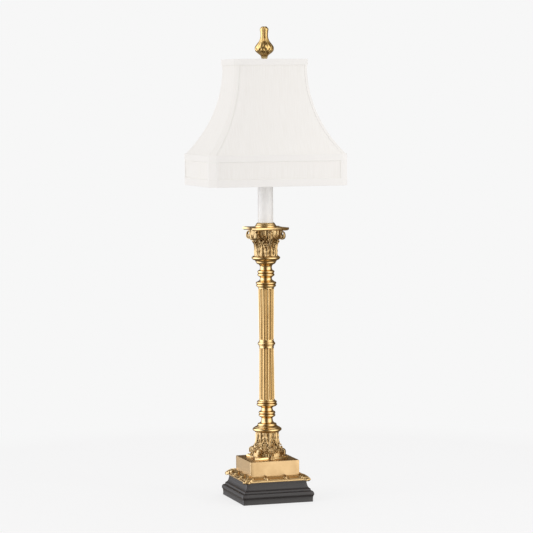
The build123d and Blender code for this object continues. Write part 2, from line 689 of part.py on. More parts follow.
def shade_fabric():
    """Fabric panels between the seams, the upright gallery and the tapes that bind the edges."""
    front = swept_panel(half_deep, half_wide)
    side = swept_panel(half_wide, half_deep)
    keep("shade_panel_front", front)
    keep("shade_panel_back", Rot(0, 0, 180) * front)
    keep("shade_panel_right", Rot(0, 0, 90) * side)
    keep("shade_panel_left", Rot(0, 0, 270) * side)
    strip = corner_strip()
    flipped = mirror(strip, about=Plane.YZ)
    keep("shade_corner_panels", strip, flipped, Rot(0, 0, 180) * strip, Rot(0, 0, 180) * flipped)
    keep("shade_gallery", octagon_band(SHADE_WIDE, SHADE_DEEP, CUT_LOW, FABRIC, SHADE_BOTTOM, GALLERY_TOP))
    proud = 2 * TAPE
    lift = TAPE * (2 - sqrt(2))
    keep("gallery_bottom_tape", octagon_band(
        SHADE_WIDE + proud, SHADE_DEEP + proud, CUT_LOW + lift, TAPE, SHADE_BOTTOM, SHADE_BOTTOM + 13.0))
    keep("gallery_top_tape", octagon_band(
        SHADE_WIDE + proud, SHADE_DEEP + proud, CUT_LOW + lift, TAPE, GALLERY_TOP - 12.0, GALLERY_TOP))
    keep("shade_top_tape", octagon_band(
        SHADE_TOP_WIDE + proud, SHADE_TOP_DEEP + proud, CUT_TOP + lift, TAPE, SHADE_TOP - 12.0, SHADE_TOP))


# ---- finial ------------------------------------------------------------------------------
def finial_group():
    """Brass bud on its threaded base: round belly, fluted neck and three flared lobes at the tip."""
    z = FINIAL_BOTTOM
    keep("finial_base", turned(*path(
        (STUD_R + SLIDE_GAP, z),
        (6.0, z),
        (5.6, z + 4.0),
        (6.2, z + 8.0),
        (STUD_R + SLIDE_GAP, z + 8.0),
    )))
    bud = turned(*path(
        (0, z + 10.8),
        (STUD_R + SLIDE_GAP, z + 10.8),
        (STUD_R + SLIDE_GAP, z + 8.0),
        (6.2, z + 8.0),
        (8.6, z + 11.6),
        (13.4, z + 15.4),
        (16.7, z + 19.6),
        (17.8, z + 23.6),
        (17.2, z + 28.4),
        (15.2, z + 32.0),
        (9.4, z + 39.4),
        (6.7, z + 47.4),
        (6.9, z + 54.0),
        (7.6, z + 60.2),
        (5.6, TOTAL_HEIGHT - 1.6),
        (0, TOTAL_HEIGHT),
    ))
    creases = []
    for i in range(3):
        crease = Pos(8.9, 0, z + 55.0) * Rot(0, 2, 0) * Cylinder(2.2, 30)
        creases.append(Rot(0, 0, 30 + 120 * i) * crease)
    keep("finial_bud", bud - creases)


def main():
    """Build every node and write its STEP file."""
    base_group()
    tray_group()
    capital_group()
    column_turnings()
    shafts()
    candle_group()
    switch_group()
    bulb_group()
    harp_group()
    shade_frame()
    shade_fabric()
    finial_group()
    os.makedirs("parts", exist_ok=True)
    for name, shape in PARTS.items():
        export_step(shape, f"parts/{name}.step")


main()
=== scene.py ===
"""Looks of the column table lamp: black moulded base, antique brass column, candle sleeve and cloth shade.

Profiles and surfaces below are written in millimetres in the frame's own axes (Z up, -Y the front) and
become metres when a mesh is made.
"""
from math import ceil, cos, pi, radians, sin, sqrt

import bmesh
import bpy
import numpy as np
from mathutils import Matrix, Vector


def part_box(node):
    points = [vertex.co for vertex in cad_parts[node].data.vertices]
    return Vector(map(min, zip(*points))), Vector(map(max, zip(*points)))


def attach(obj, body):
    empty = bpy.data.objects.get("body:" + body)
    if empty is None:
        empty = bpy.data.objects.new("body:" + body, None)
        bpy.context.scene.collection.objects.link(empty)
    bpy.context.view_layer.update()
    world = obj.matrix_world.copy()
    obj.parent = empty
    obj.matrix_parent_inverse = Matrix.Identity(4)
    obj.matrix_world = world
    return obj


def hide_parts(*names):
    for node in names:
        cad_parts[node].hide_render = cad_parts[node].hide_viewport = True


bl_info = {
    "name": "Column Table Lamp",
    "version": (1, 0, 0),
    "blender": (4, 5, 0),
    "location": "3D View > Sidebar > Lamp",
    "description": "Builds the visible pieces and finishes of a column table lamp round its CAD frame",
    "category": "Add Mesh",
}

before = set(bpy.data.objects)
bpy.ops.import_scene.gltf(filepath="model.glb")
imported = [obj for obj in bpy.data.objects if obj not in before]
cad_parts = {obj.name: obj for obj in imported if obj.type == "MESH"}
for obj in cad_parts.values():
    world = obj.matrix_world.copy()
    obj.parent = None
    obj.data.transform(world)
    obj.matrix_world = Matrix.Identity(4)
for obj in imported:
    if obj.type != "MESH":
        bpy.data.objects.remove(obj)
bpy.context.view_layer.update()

TURN = 2 * pi


# ---- outlines and grids ------------------------------------------------------------------
def outline(*stops, step=0.45):
    """Points of a line through (radius, height) stops.

    A third value on a stop is the sagitta h of the circular arc that arrives there, to the left of its
    direction: with chord c, the arc's half angle is 2 atan(2h/c) and its radius c / (2 sin(half angle)).
    """
    points = [np.array(stops[0][:2], float)[None]]
    for start, end in zip(stops, stops[1:]):
        a = np.array(start[:2], float)
        b = np.array(end[:2], float)
        chord = np.linalg.norm(b - a)
        bow = end[2] if len(end) > 2 else 0.0
        if not bow or chord < 1e-9:
            points.append(b[None])
            continue
        half = 2 * np.arctan2(2 * abs(bow), chord)
        radius = chord / (2 * np.sin(half))
        count = max(4, ceil(2 * half * radius / step))
        angle = half * (2 * np.arange(1, count + 1) / count - 1)
        along = (b - a) / chord
        left = np.array([-along[1], along[0]]) * np.sign(bow)
        run = chord / 2 + radius * np.sin(angle)
        rise = radius * (np.cos(angle) - np.cos(half))
        points.append(a + run[:, None] * along + rise[:, None] * left)
    return np.concatenate(points)


def spline(knots, samples):
    """Smooth line through the knots at the given samples of 0 to 1: cubic Hermite pieces whose slope at a
    knot is half the difference of its neighbours."""
    knots = np.asarray(knots, float)
    slopes = np.gradient(knots, axis=0)
    place = np.clip(np.asarray(samples, float) * (len(knots) - 1), 0, len(knots) - 1 - 1e-9)
    i = place.astype(int)
    t = (place - i)[:, None]
    a, b = knots[i], knots[i + 1]
    return (
        a * (1 + 2 * t) * (1 - t) ** 2
        + slopes[i] * t * (1 - t) ** 2
        + b * t * t * (3 - 2 * t)
        + slopes[i + 1] * t * t * (t - 1)
    )


def curve_at(x, xs, ys):
    """Smooth height ys over xs at x: the cubic Hermite form with central slopes."""
    xs = np.asarray(xs, float)
    ys = np.asarray(ys, float)
    slopes = np.gradient(ys, xs)
    x = np.clip(x, xs[0], xs[-1])
    i = np.clip(np.searchsorted(xs, x, side="right") - 1, 0, len(xs) - 2)
    width = xs[i + 1] - xs[i]
    t = (x - xs[i]) / width
    return (
        ys[i] * (1 + 2 * t) * (1 - t) ** 2
        + slopes[i] * width * t * (1 - t) ** 2
        + ys[i + 1] * t * t * (3 - 2 * t)
        + slopes[i + 1] * width * t * t * (t - 1)
    )


def smooth(x, low, high):
    """Smoothstep of x from low to high."""
    t = np.clip((x - low) / (high - low), 0, 1)
    return t * t * (3 - 2 * t)


def spun(profile, columns=144):
    """Surface of revolution: each (radius, height) of the closed outline turned about Z."""
    angle = np.arange(columns) * TURN / columns
    radius, height = profile[:, 0][:, None], profile[:, 1][:, None]
    points = np.stack(
        [radius * np.cos(angle), radius * np.sin(angle), height + 0 * angle], axis=-1
    )
    return points, True, True


def rounded_square(per_side=14, per_corner=5):
    """Directions round a square: (x, y, corner x, corner y), so that a point of half side h lies at
    (corner x, corner y) * (h - corner radius) plus (x, y) * corner radius, sides filled in between."""
    rows = []
    for quarter in range(4):
        turn = -pi / 4 + quarter * pi / 2
        angle = turn - pi / 4 + np.linspace(0, pi / 2, per_corner)
        sign = np.array([np.sign(cos(turn)), np.sign(sin(turn))])
        rows.append(np.stack([np.cos(angle), np.sin(angle), 0 * angle + sign[0], 0 * angle + sign[1]], 1))
    loop = []
    for i in range(4):
        here, there = rows[i], rows[(i + 1) % 4]
        loop.append(here)
        t = (np.arange(1, per_side) / per_side)[:, None]
        loop.append(here[-1] * (1 - t) + there[0] * t)
    return np.concatenate(loop)


def squared(profile, corner=0.6):
    """Square moulding: each (half side, height) of the profile run round a square of rounded corners."""
    loop = rounded_square()
    half = profile[:, 0][:, None]
    radius = np.minimum(corner, half * 0.98)
    x = loop[:, 2] * (half - radius) + loop[:, 0] * radius
    y = loop[:, 3] * (half - radius) + loop[:, 1] * radius
    return capped(np.stack([x, y, profile[:, 1][:, None] + 0 * x], axis=-1)), False, True


def capped(points):
    """Grid whose first and last rows are closed by a row gathered at their middle."""
    first = np.broadcast_to(points[0].mean(0), points[0].shape)[None]
    last = np.broadcast_to(points[-1].mean(0), points[-1].shape)[None]
    return np.concatenate([first, points, last])


def turned_to(points, degrees_round):
    """Points turned about Z."""
    a = radians(degrees_round)
    spin = np.array([[cos(a), sin(a), 0], [-sin(a), cos(a), 0], [0, 0, 1]])
    return points @ spin


def flipped(points, height):
    """Points turned over about the level at half the given height, as a part stood on its head."""
    return points * np.array([1, -1, -1]) + np.array([0, 0, height])


# ---- meshes ------------------------------------------------------------------------------
def cells(rows, columns, wrap_rows, wrap_columns):
    """Corner numbers of a grid's four-sided faces."""
    i = np.arange(rows if wrap_rows else rows - 1)[:, None]
    j = np.arange(columns if wrap_columns else columns - 1)[None]
    down, right = (i + 1) % rows, (j + 1) % columns
    corners = [i * columns + j, i * columns + right, down * columns + right, down * columns + j]
    return np.stack(np.broadcast_arrays(*corners), axis=-1).reshape(-1, 4)


def recess_of(mesh, rounds=3):
    """How deep each vertex lies among its neighbours: the mean of (neighbour - vertex) along the normal over
    the distance, evened out over a few rounds. Hollows are positive and raised edges negative."""
    count = len(mesh.vertices)
    place = np.empty(count * 3, np.float32)
    normal = np.empty(count * 3, np.float32)
    ends = np.empty(len(mesh.edges) * 2, np.int32)
    mesh.vertices.foreach_get("co", place)
    mesh.vertices.foreach_get("normal", normal)
    mesh.edges.foreach_get("vertices", ends)
    place, normal = place.reshape(-1, 3), normal.reshape(-1, 3)
    a, b = ends.reshape(-1, 2).T
    step = place[b] - place[a]
    length = np.maximum(np.linalg.norm(step, axis=1), 1e-9)
    lift = np.bincount(a, (step * normal[a]).sum(1) / length, count)
    lift -= np.bincount(b, (step * normal[b]).sum(1) / length, count)
    share = np.maximum(np.bincount(a, minlength=count) + np.bincount(b, minlength=count), 1)
    lift /= share
    for _ in range(rounds):
        lift = (lift + (np.bincount(a, lift[b], count) + np.bincount(b, lift[a], count)) / share) / 2
    return lift.astype(np.float32)


def make(name, surfaces, body, material, replaces=(), crease=38.0, cloth=None):
    """One mesh object from closed grids of points (points, wrap rows, wrap columns), riding on a CAD body."""
    places, faces, start = [], [], 0
    for points, wrap_rows, wrap_columns in surfaces:
        rows, columns = points.shape[:2]
        places.append(points.reshape(-1, 3))
        faces.append(cells(rows, columns, wrap_rows, wrap_columns) + start)
        start += rows * columns
    places = np.concatenate(places) * 0.001
    faces = np.concatenate(faces)
    mesh = bpy.data.meshes.new(name)
    mesh.vertices.add(len(places))
    mesh.vertices.foreach_set("co", places.astype(np.float32).ravel())
    mesh.loops.add(faces.size)
    mesh.loops.foreach_set("vertex_index", faces.astype(np.int32).ravel())
    mesh.polygons.add(len(faces))
    mesh.polygons.foreach_set("loop_start", np.arange(0, faces.size, 4, dtype=np.int32))
    mesh.update(calc_edges=True)
    if cloth is not None:
        layer = mesh.attributes.new("cloth", "FLOAT_VECTOR", "POINT")
        layer.data.foreach_set("vector", cloth.astype(np.float32).ravel())
    build = bmesh.new()
    build.from_mesh(mesh)
    bmesh.ops.remove_doubles(build, verts=build.verts, dist=1e-6)
    bmesh.ops.recalc_face_normals(build, faces=build.faces)
    if build.calc_volume(signed=True) < 0:
        bmesh.ops.reverse_faces(build, faces=build.faces)
    build.to_mesh(mesh)
    build.free()
    mesh.shade_smooth()
    mesh.set_sharp_from_angle(angle=radians(crease))
    layer = mesh.attributes.new("recess", "FLOAT", "POINT")
    layer.data.foreach_set("value", recess_of(mesh))
    piece = bpy.data.objects.new(name, mesh)
    bpy.context.scene.collection.objects.link(piece)
    piece.data.materials.append(material)
    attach(piece, body)
    if replaces:
        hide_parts(*replaces)
    return piece


# ---- node helpers ------------------------------------------------------------------------
class Finish:
    """A material under way: its nodes, its links and its main shader."""

    def __init__(self, name, colour, roughness, metallic=0.0):
        self.material = bpy.data.materials.new(name)
        self.material.use_nodes = True
        self.nodes = self.material.node_tree.nodes
        self.links = self.material.node_tree.links
        self.shader = self.nodes["Principled BSDF"]
        self.shader.inputs["Base Color"].default_value = (*colour, 1.0)
        self.shader.inputs["Roughness"].default_value = roughness
        self.shader.inputs["Metallic"].default_value = metallic
        self.place = self.nodes.new("ShaderNodeTexCoord").outputs["Object"]

    def join(self, source, target):
        """Link an output to an input."""
        self.links.new(source, target)

    def stretched(self, scale, source=None):
        """Coordinates scaled along each axis."""
        node = self.nodes.new("ShaderNodeMapping")
        node.inputs["Scale"].default_value = scale
        self.join(source or self.place, node.inputs["Vector"])
        return node.outputs["Vector"]

    def noise(self, scale, detail=3.0, roughness=0.5, source=None):
        """Noise value at the coordinates."""
        node = self.nodes.new("ShaderNodeTexNoise")
        node.inputs["Scale"].default_value = scale
        node.inputs["Detail"].default_value = detail
        node.inputs["Roughness"].default_value = roughness
        self.join(source or self.place, node.inputs["Vector"])
        return node.outputs["Fac"]

    def waves(self, scale, direction, source=None, distortion=0.0):
        """Sine bands across one axis."""
        node = self.nodes.new("ShaderNodeTexWave")
        node.bands_direction = direction
        node.inputs["Scale"].default_value = scale
        node.inputs["Distortion"].default_value = distortion
        node.inputs["Detail"].default_value = 0.0
        self.join(source or self.place, node.inputs["Vector"])
        return node.outputs["Fac"]

    def spread(self, value, low, high, to_low=0.0, to_high=1.0):
        """A value mapped from one range to another and held there."""
        node = self.nodes.new("ShaderNodeMapRange")
        node.inputs["From Min"].default_value = low
        node.inputs["From Max"].default_value = high
        node.inputs["To Min"].default_value = to_low
        node.inputs["To Max"].default_value = to_high
        self.join(value, node.inputs["Value"])
        return node.outputs["Result"]

    def sum(self, first, second, how="ADD", share=1.0):
        """Two values added, multiplied, or the greater of them; a number may stand for the second."""
        node = self.nodes.new("ShaderNodeMath")
        node.operation = how
        self.join(first, node.inputs[0])
        if isinstance(second, float):
            node.inputs[1].default_value = second * share
        else:
            self.join(second, node.inputs[1])
        return node.outputs["Value"]

    def blend(self, share, first, second, how="MIX"):
        """Two colours mixed by a share; each may be a socket or a colour."""
        node = self.nodes.new("ShaderNodeMix")
        node.data_type = "RGBA"
        node.blend_type = how
        slots = [s for s in node.inputs if s.type == "RGBA"]
        for slot, colour in zip(slots, (first, second)):
            if isinstance(colour, tuple):
                slot.default_value = (*colour, 1.0)
            else:
                self.join(colour, slot)
        if isinstance(share, float):
            node.inputs["Factor"].default_value = share
        else:
            self.join(share, node.inputs["Factor"])
        return next(s for s in node.outputs if s.type == "RGBA")

    def attribute(self, name, vector=False):
        """A mesh attribute of the piece."""
        node = self.nodes.new("ShaderNodeAttribute")
        node.attribute_name = name
        return node.outputs["Vector" if vector else "Fac"]

    def crevice(self, distance):
        """How open a spot is to its surroundings, from 0 in a crevice to 1 on a free face."""
        node = self.nodes.new("ShaderNodeAmbientOcclusion")
        node.samples = 16
        node.inputs["Distance"].default_value = distance
        return node.outputs["AO"]

    def bump(self, height, strength, distance):
        """Relief on the main shader."""
        node = self.nodes.new("ShaderNodeBump")
        node.inputs["Strength"].default_value = strength
        node.inputs["Distance"].default_value = distance
        self.join(height, node.inputs["Height"])
        self.join(node.outputs["Normal"], self.shader.inputs["Normal"])

    def colour(self, source):
        """Drive the base colour."""
        self.join(source, self.shader.inputs["Base Color"])

    def roughness(self, source):
        """Drive the roughness."""
        self.join(source, self.shader.inputs["Roughness"])


def brass(name, bright, dark, low, high, grain=(60, 60, 60), patina=0.5, hollows=None, crevice_shade_and_patina=0.5):
    """Antique brass: the bright tone clouded by noise, and the dark tone laid into recesses between two levels
    of recess and into the crevices that the occlusion node finds: patina and painted shade together. A fine
    brushed grain has its scale given along each axis."""
    finish = Finish(name, bright, low, 1.0)
    cloud = finish.noise(34.0, 4.0, 0.6)
    base = finish.blend(finish.spread(cloud, 0.35, 0.75, 0.0, 0.25), bright, dark)
    # Patina and painted shade: the deeper a recess, the more of the dark tone, up to the share patina.
    patina_and_shade_share = finish.spread(finish.attribute("recess"), *(hollows or (0.03, 0.12)), 0.0, patina)
    if crevice_shade_and_patina:
        # Painted shade: where the occlusion node finds metal close round a spot, more of the dark tone is laid on.
        patina_and_shade_share = finish.sum(patina_and_shade_share, finish.spread(finish.crevice(0.004), 0.1, 0.8, crevice_shade_and_patina, 0.0), "MAXIMUM")
    finish.colour(finish.blend(patina_and_shade_share, base, dark))
    grit = finish.noise(1.0, 2.0, 0.5, finish.stretched(tuple(g * 20.0 for g in grain)))
    finish.roughness(finish.spread(finish.sum(grit, cloud), 0.7, 1.4, low, high))
    finish.bump(grit, 0.02, 0.00003)
    return finish.material


def black_paint(name, black, rubbed):
    """Satin black paint over wood: raised moulding edges rubbed towards reddish brown, faint brush marks
    along the moulding and small dull spots."""
    finish = Finish(name, black, 0.34)
    edge = finish.spread(finish.attribute("recess"), -0.02, -0.16, 0.0, 1.0)
    patches = finish.spread(finish.noise(22.0, 5.0, 0.7), 0.42, 0.72, 0.0, 0.75)
    finish.colour(finish.blend(finish.sum(edge, patches, "MULTIPLY"), black, rubbed))
    brushed = finish.noise(1.0, 3.0, 0.6, finish.stretched((30.0, 30.0, 900.0)))
    finish.roughness(finish.spread(brushed, 0.3, 0.75, 0.27, 0.42))
    finish.bump(brushed, 0.12, 0.0003)
    finish.shader.inputs["Specular IOR Level"].default_value = 0.5
    return finish.material


def slub_cloth(name, tone, shade_tone, threads=1.0):
    """Off-white slub weave on the cloth's own metres: fine crossing threads, thicker upright slubs of uneven
    length, and a soft sheen."""
    finish = Finish(name, tone, 0.92)
    own = finish.attribute("cloth", vector=True)
    slub = finish.noise(1.0, 2.0, 0.5, finish.stretched((620.0, 26.0, 1.0), own))
    fleck = finish.noise(1.0, 2.0, 0.5, finish.stretched((60.0, 900.0, 1.0), own))
    warp = finish.waves(260.0 * threads, "X", own, 0.0)
    weft = finish.waves(240.0 * threads, "Y", own, 0.0)
    weave = finish.sum(warp, weft, "MULTIPLY")
    body = finish.sum(finish.sum(slub, 0.8, "MULTIPLY"), finish.sum(weave, 0.25, "MULTIPLY"))
    finish.colour(finish.blend(finish.spread(slub, 0.38, 0.70, 0.0, 0.55), tone, shade_tone))
    finish.bump(finish.sum(body, finish.sum(fleck, 0.3, "MULTIPLY")), 0.35, 0.0004)
    finish.shader.inputs["Sheen Weight"].default_value = 0.15
    finish.shader.inputs["Sheen Roughness"].default_value = 0.6
    finish.shader.inputs["Specular IOR Level"].default_value = 0.25
    return finish.material


def plain_finish(name, tone, other, low, high, scale, metallic=0.0, relief=0.08, stretch=(1, 1, 1)):
    """Even finish with a slow change of tone and gloss and a fine relief, for small hardware."""
    finish = Finish(name, tone, low, metallic)
    cloud = finish.noise(scale, 4.0, 0.55, finish.stretched(stretch))
    finish.colour(finish.blend(finish.spread(cloud, 0.35, 0.7), tone, other))
    fine = finish.noise(scale * 22.0, 2.0, 0.5, finish.stretched(stretch))
    finish.roughness(finish.spread(cloud, 0.3, 0.7, low, high))
    finish.bump(fine, relief, 0.0002)
    return finish


def material(name):
    """A finish made earlier."""
    found = bpy.data.materials.get(name)
    if found is None:
        raise RuntimeError(f"finish {name} isn't made yet: run the finishes operator first")
    return found


def dress(node, finish):
    """Give a CAD node one finish over its whole surface."""
    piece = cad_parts[node]
    piece.data.materials.clear()
    piece.data.materials.append(material(finish))


# ---- base, tray and box --------------------------------------------------------------------
def base_profile(side, felt):
    """Half profile of the black base: a rim round the felt, an upright face, a torus, a fillet and a cove."""
    half = side / 2
    return outline(
        (2.0, 1.05),
        (felt, 1.05),
        (felt + 0.2, 0.25),
        (half - 2.0, 0.25),
        (half - 1.3, 1.1, -0.2),
        (half - 1.3, 9.0, 0.25),
        (half - 0.3, 12.6, 0.15),
        (half - 0.2, 18.4, -0.75),
        (half - 1.9, 20.9, -0.35),
        (half - 4.5, 22.0, 0.25),
        (half - 4.8, 22.6),
        (half - 5.0, 25.0),
        (half - 5.6, 25.5),
        (61.2, 33.4, 1.15),
        (60.3, 38.6, 0.3),
        (60.2, 41.5),
        (2.0, 41.5),
    )


def tray_profile():
    """Half profile of the tray: upright rim, shallow channel and an ogee slope up to the box."""
    return outline(
        (2.0, 41.5),
        (64.2, 41.5),
        (65.0, 42.1, -0.15),
        (65.0, 43.9),
        (64.3, 44.6, -0.2),
        (63.0, 44.5),
        (62.0, 44.9, 0.15),
        (57.0, 47.6, -0.75),
        (51.6, 50.2, 0.6),
        (50.2, 51.2),
        (2.0, 51.2),
    )


def box_profile(side, low, high):
    """Half profile of the plain box with a softened top edge."""
    half = side / 2
    return outline((2.0, low), (half, low), (half, high - 1.1), (half - 1.1, high, -0.32), (2.0, high))


# ---- acanthus, volutes and flowers --------------------------------------------------------
LARGE_LEAF = (1.06, 1.02, 0.92, 0.78, 0.64, 0.51, 0.40, 0.27, 0.09)
SLIM_LEAF = (0.8, 0.9, 1.0, 1.0, 0.94, 0.82, 0.62, 0.38, 0.08)
BROAD_LEAF = (0.50, 0.72, 0.92, 1.0, 1.0, 0.93, 0.80, 0.56, 0.10)
BORE = 5.2
LEAVES = 8
LEAF_CIRCLE = 23.4
LEAF_ROWS = 50
LEAF_COLUMNS = 25


def leaf_surface(climb, width, thick, relief, taper, lobes, dome=0.0, lying=False):
    """Acanthus leaf in local (out, across, up).

    Its midrib is the spline through climb, read at v from 0 at the root to 1 at the tip. The half width is
    width / 2 times the taper at v, less a notch of 0.07 (1 - cos(2 pi lobes v)) (1 - v^6) between its lobes. With
    u across it from -1 to 1 and side = |u|, the face is lifted along its normal by relief (1 - v^8) times the
    sum of the midrib 1.3 exp(-(u / 0.15)^2), the raised edge 1.1 exp(-((side - 0.84) / 0.13)^2), the veins
    0.6 cos(2 pi lobes (v + 0.3 side) + 1) side (1 - side^4) and a hollow of -0.7, and falls away by
    dome u^2. The back is the same sheet lowered by thick (1 - u^2 / 2) (1 - v / 2). A lying leaf has its
    face upwards.
    """
    v = 1 - (1 - np.linspace(0, 1, LEAF_ROWS)) ** 1.12
    u = np.linspace(-1, 1, LEAF_COLUMNS)
    u = 0.6 * u + 0.4 * np.sin(u * pi / 2)
    v, u = v[:, None], u[None]
    side = np.abs(u)
    shape = curve_at(v, np.linspace(0, 1, len(taper)), taper)
    notch = 1 - 0.14 * (0.5 - 0.5 * np.cos(TURN * lobes * v)) * (1 - v**6)
    half = width / 2 * shape * notch
    flat = v.ravel()
    middle = spline(climb, flat)
    tangent = spline(climb, np.clip(flat + 0.01, 0, 1)) - spline(climb, np.clip(flat - 0.01, 0, 1))
    tangent /= np.maximum(np.linalg.norm(tangent, axis=-1, keepdims=True), 1e-9)
    normal = np.stack([tangent[:, 1], -tangent[:, 0]], -1)[:, None] * (-1 if lying else 1)
    fade = np.clip(1 - v**8, 0, 1)
    lift = 1.3 * np.exp(-((u / 0.15) ** 2)) + 1.1 * np.exp(-(((side - 0.84) / 0.13) ** 2)) - 0.7
    lift = lift + 0.6 * np.cos(TURN * lobes * (v + 0.3 * side) + 1) * side * (1 - side**4)
    lift = relief * lift * fade - dome * u**2
    wall = thick * (1 - 0.5 * u**2) * (1 - 0.5 * v)
    front = middle[:, None] + normal * lift[..., None]
    back = middle[:, None] + normal * (lift - wall)[..., None]
    across = half * u
    face = np.stack([front[..., 0], across, front[..., 1]], -1)
    rear = np.stack([back[..., 0], across, back[..., 1]], -1)[:, ::-1]
    return capped(np.concatenate([face, rear], axis=1))


def bent_round(points, azimuth):
    """Local (out, across, up) bent round the column's axis: the angle is across over out."""
    out = np.maximum(points[..., 0], 1e-6)
    angle = points[..., 1] / out + radians(azimuth)
    return np.stack([out * np.cos(angle), out * np.sin(angle), points[..., 2]], -1)


def ribbon(line, width, thick, columns):
    """Rounded strip along a line of (out, up): the section is an oval of the given width across the line's
    plane and thickness in it, with |cos a|^0.6 and |sin a|^0.6 for flatter faces."""
    tangent = np.gradient(line, axis=0)
    tangent /= np.maximum(np.linalg.norm(tangent, axis=1, keepdims=True), 1e-9)
    normal = np.stack([tangent[:, 1], -tangent[:, 0]], 1)
    angle = np.arange(columns) * TURN / columns
    wide = np.sign(np.cos(angle)) * np.abs(np.cos(angle)) ** 0.6
    deep = np.sign(np.sin(angle)) * np.abs(np.sin(angle)) ** 0.6
    width = np.broadcast_to(width, len(line))[:, None]
    thick = np.broadcast_to(thick, len(line))[:, None]
    level = deep * thick / 2
    place = line[:, None] + normal[:, None] * level[..., None]
    across = width / 2 * wide[None]
    return capped(np.stack([place[..., 0], across, place[..., 1]], -1))


def scroll_line(stalk, centre, radius, turns, count=60):
    """Line of (out, up) through the stalk's knots, then round a spiral that starts on its outer side, rolls
    down and inwards, and shrinks evenly to a fifth of its radius."""
    angle = -np.linspace(0, TURN * turns, count)
    shrink = radius * np.linspace(1, 0.2, count)
    spiral = np.stack([centre[0] + shrink * np.cos(angle), centre[1] + shrink * np.sin(angle)], 1)
    rise = spline(list(stalk) + [tuple(spiral[0])], np.linspace(0, 1, 34))
    return np.concatenate([rise[:-1], spiral])


def barrel(centre, radius, width, columns=26):
    """Roll lying across the direction outwards: its radius along the width is radius + 0.3 (1 - t^2), closed
    in over the last tenth at both ends."""
    t = np.array([-1, -0.97, -0.9, -0.5, 0, 0.5, 0.9, 0.97, 1])[:, None]
    closing = np.where(np.abs(t) > 0.99, 0.55, np.where(np.abs(t) > 0.95, 0.86, 1))
    size = (radius + 0.3 * (1 - t**2)) * closing
    angle = np.arange(columns) * TURN / columns
    across = width / 2 * t + 0 * angle
    points = np.stack([centre[0] + size * np.cos(angle), across, centre[1] + size * np.sin(angle)], -1)
    return capped(points)


def faced(centre, radius, rise_of, azimuth, rows=13, columns=36):
    """Round boss on a wall facing outwards: rise_of(t, angle) gives its height over the disc, t from 0 at the
    middle to 1 at the rim. Its rim is set back by 2.5, and it is bent round the axis at an azimuth."""
    t = np.linspace(0, 1, rows)[:, None]
    angle = np.arange(columns) * TURN / columns
    rise = rise_of(t, angle)
    reach = radius * t + 0 * angle
    points = np.stack([centre[0] + rise, reach * np.cos(angle), centre[1] + reach * np.sin(angle)], -1)
    base = points[-1:] - np.array([2.5, 0, 0])
    return bent_round(capped(np.concatenate([points, base])), azimuth)


def curl(hand):
    """Snail relief: a ridge that winds in 1.5 turns round a round eye."""

    def rise(t, angle):
        ridge = 0.5 + 0.5 * np.cos(TURN * 1.5 * t + hand * angle)
        eye = np.exp(-((t / 0.22) ** 2))
        return 1.7 * np.clip(ridge * smooth(t, 0.12, 0.35) * (1 - t**8) + eye, 0, 1) + 0.6 * (1 - t**2)

    return rise


def abacus_plan(tip, horn, hollow, per_side=30, per_horn=7):
    """Closed plan of a capital's slab: four hollow arcs between cut horns, and its outward normals."""
    near = (tip - horn / 2) / sqrt(2)
    far = (tip + horn / 2) / sqrt(2)
    loop = []
    for quarter in range(4):
        horn_line = np.linspace((near, -far), (far, -near), per_horn)
        arc = outline((far, -near), (far, near, hollow), step=2 * near / per_side)[1:-1]
        part = np.concatenate([horn_line, arc])
        a = quarter * pi / 2
        loop.append(part @ np.array([[cos(a), sin(a)], [-sin(a), cos(a)]]))
    plan = np.concatenate(loop)
    tangent = np.roll(plan, -1, 0) - np.roll(plan, 1, 0)
    tangent /= np.linalg.norm(tangent, axis=1, keepdims=True)
    return plan, np.stack([tangent[:, 1], -tangent[:, 0]], 1)


DEEPEST_INSET = 12


def abacus(tip, horn, hollow, profile):
    """Slab of a capital: the profile lists (inset, height) and is run round the plan. Insets past the
    deepest are drawn in towards the middle instead of along the normals."""
    plan, normal = abacus_plan(tip, horn, hollow)
    inset, height = profile[:, 0][:, None, None], profile[:, 1][:, None]
    flat = np.where(inset > DEEPEST_INSET, plan * 0.35, plan - normal * inset)
    level = np.broadcast_to(height[..., None], (*flat.shape[:2], 1))
    return capped(np.concatenate([flat, level], -1)), False, True


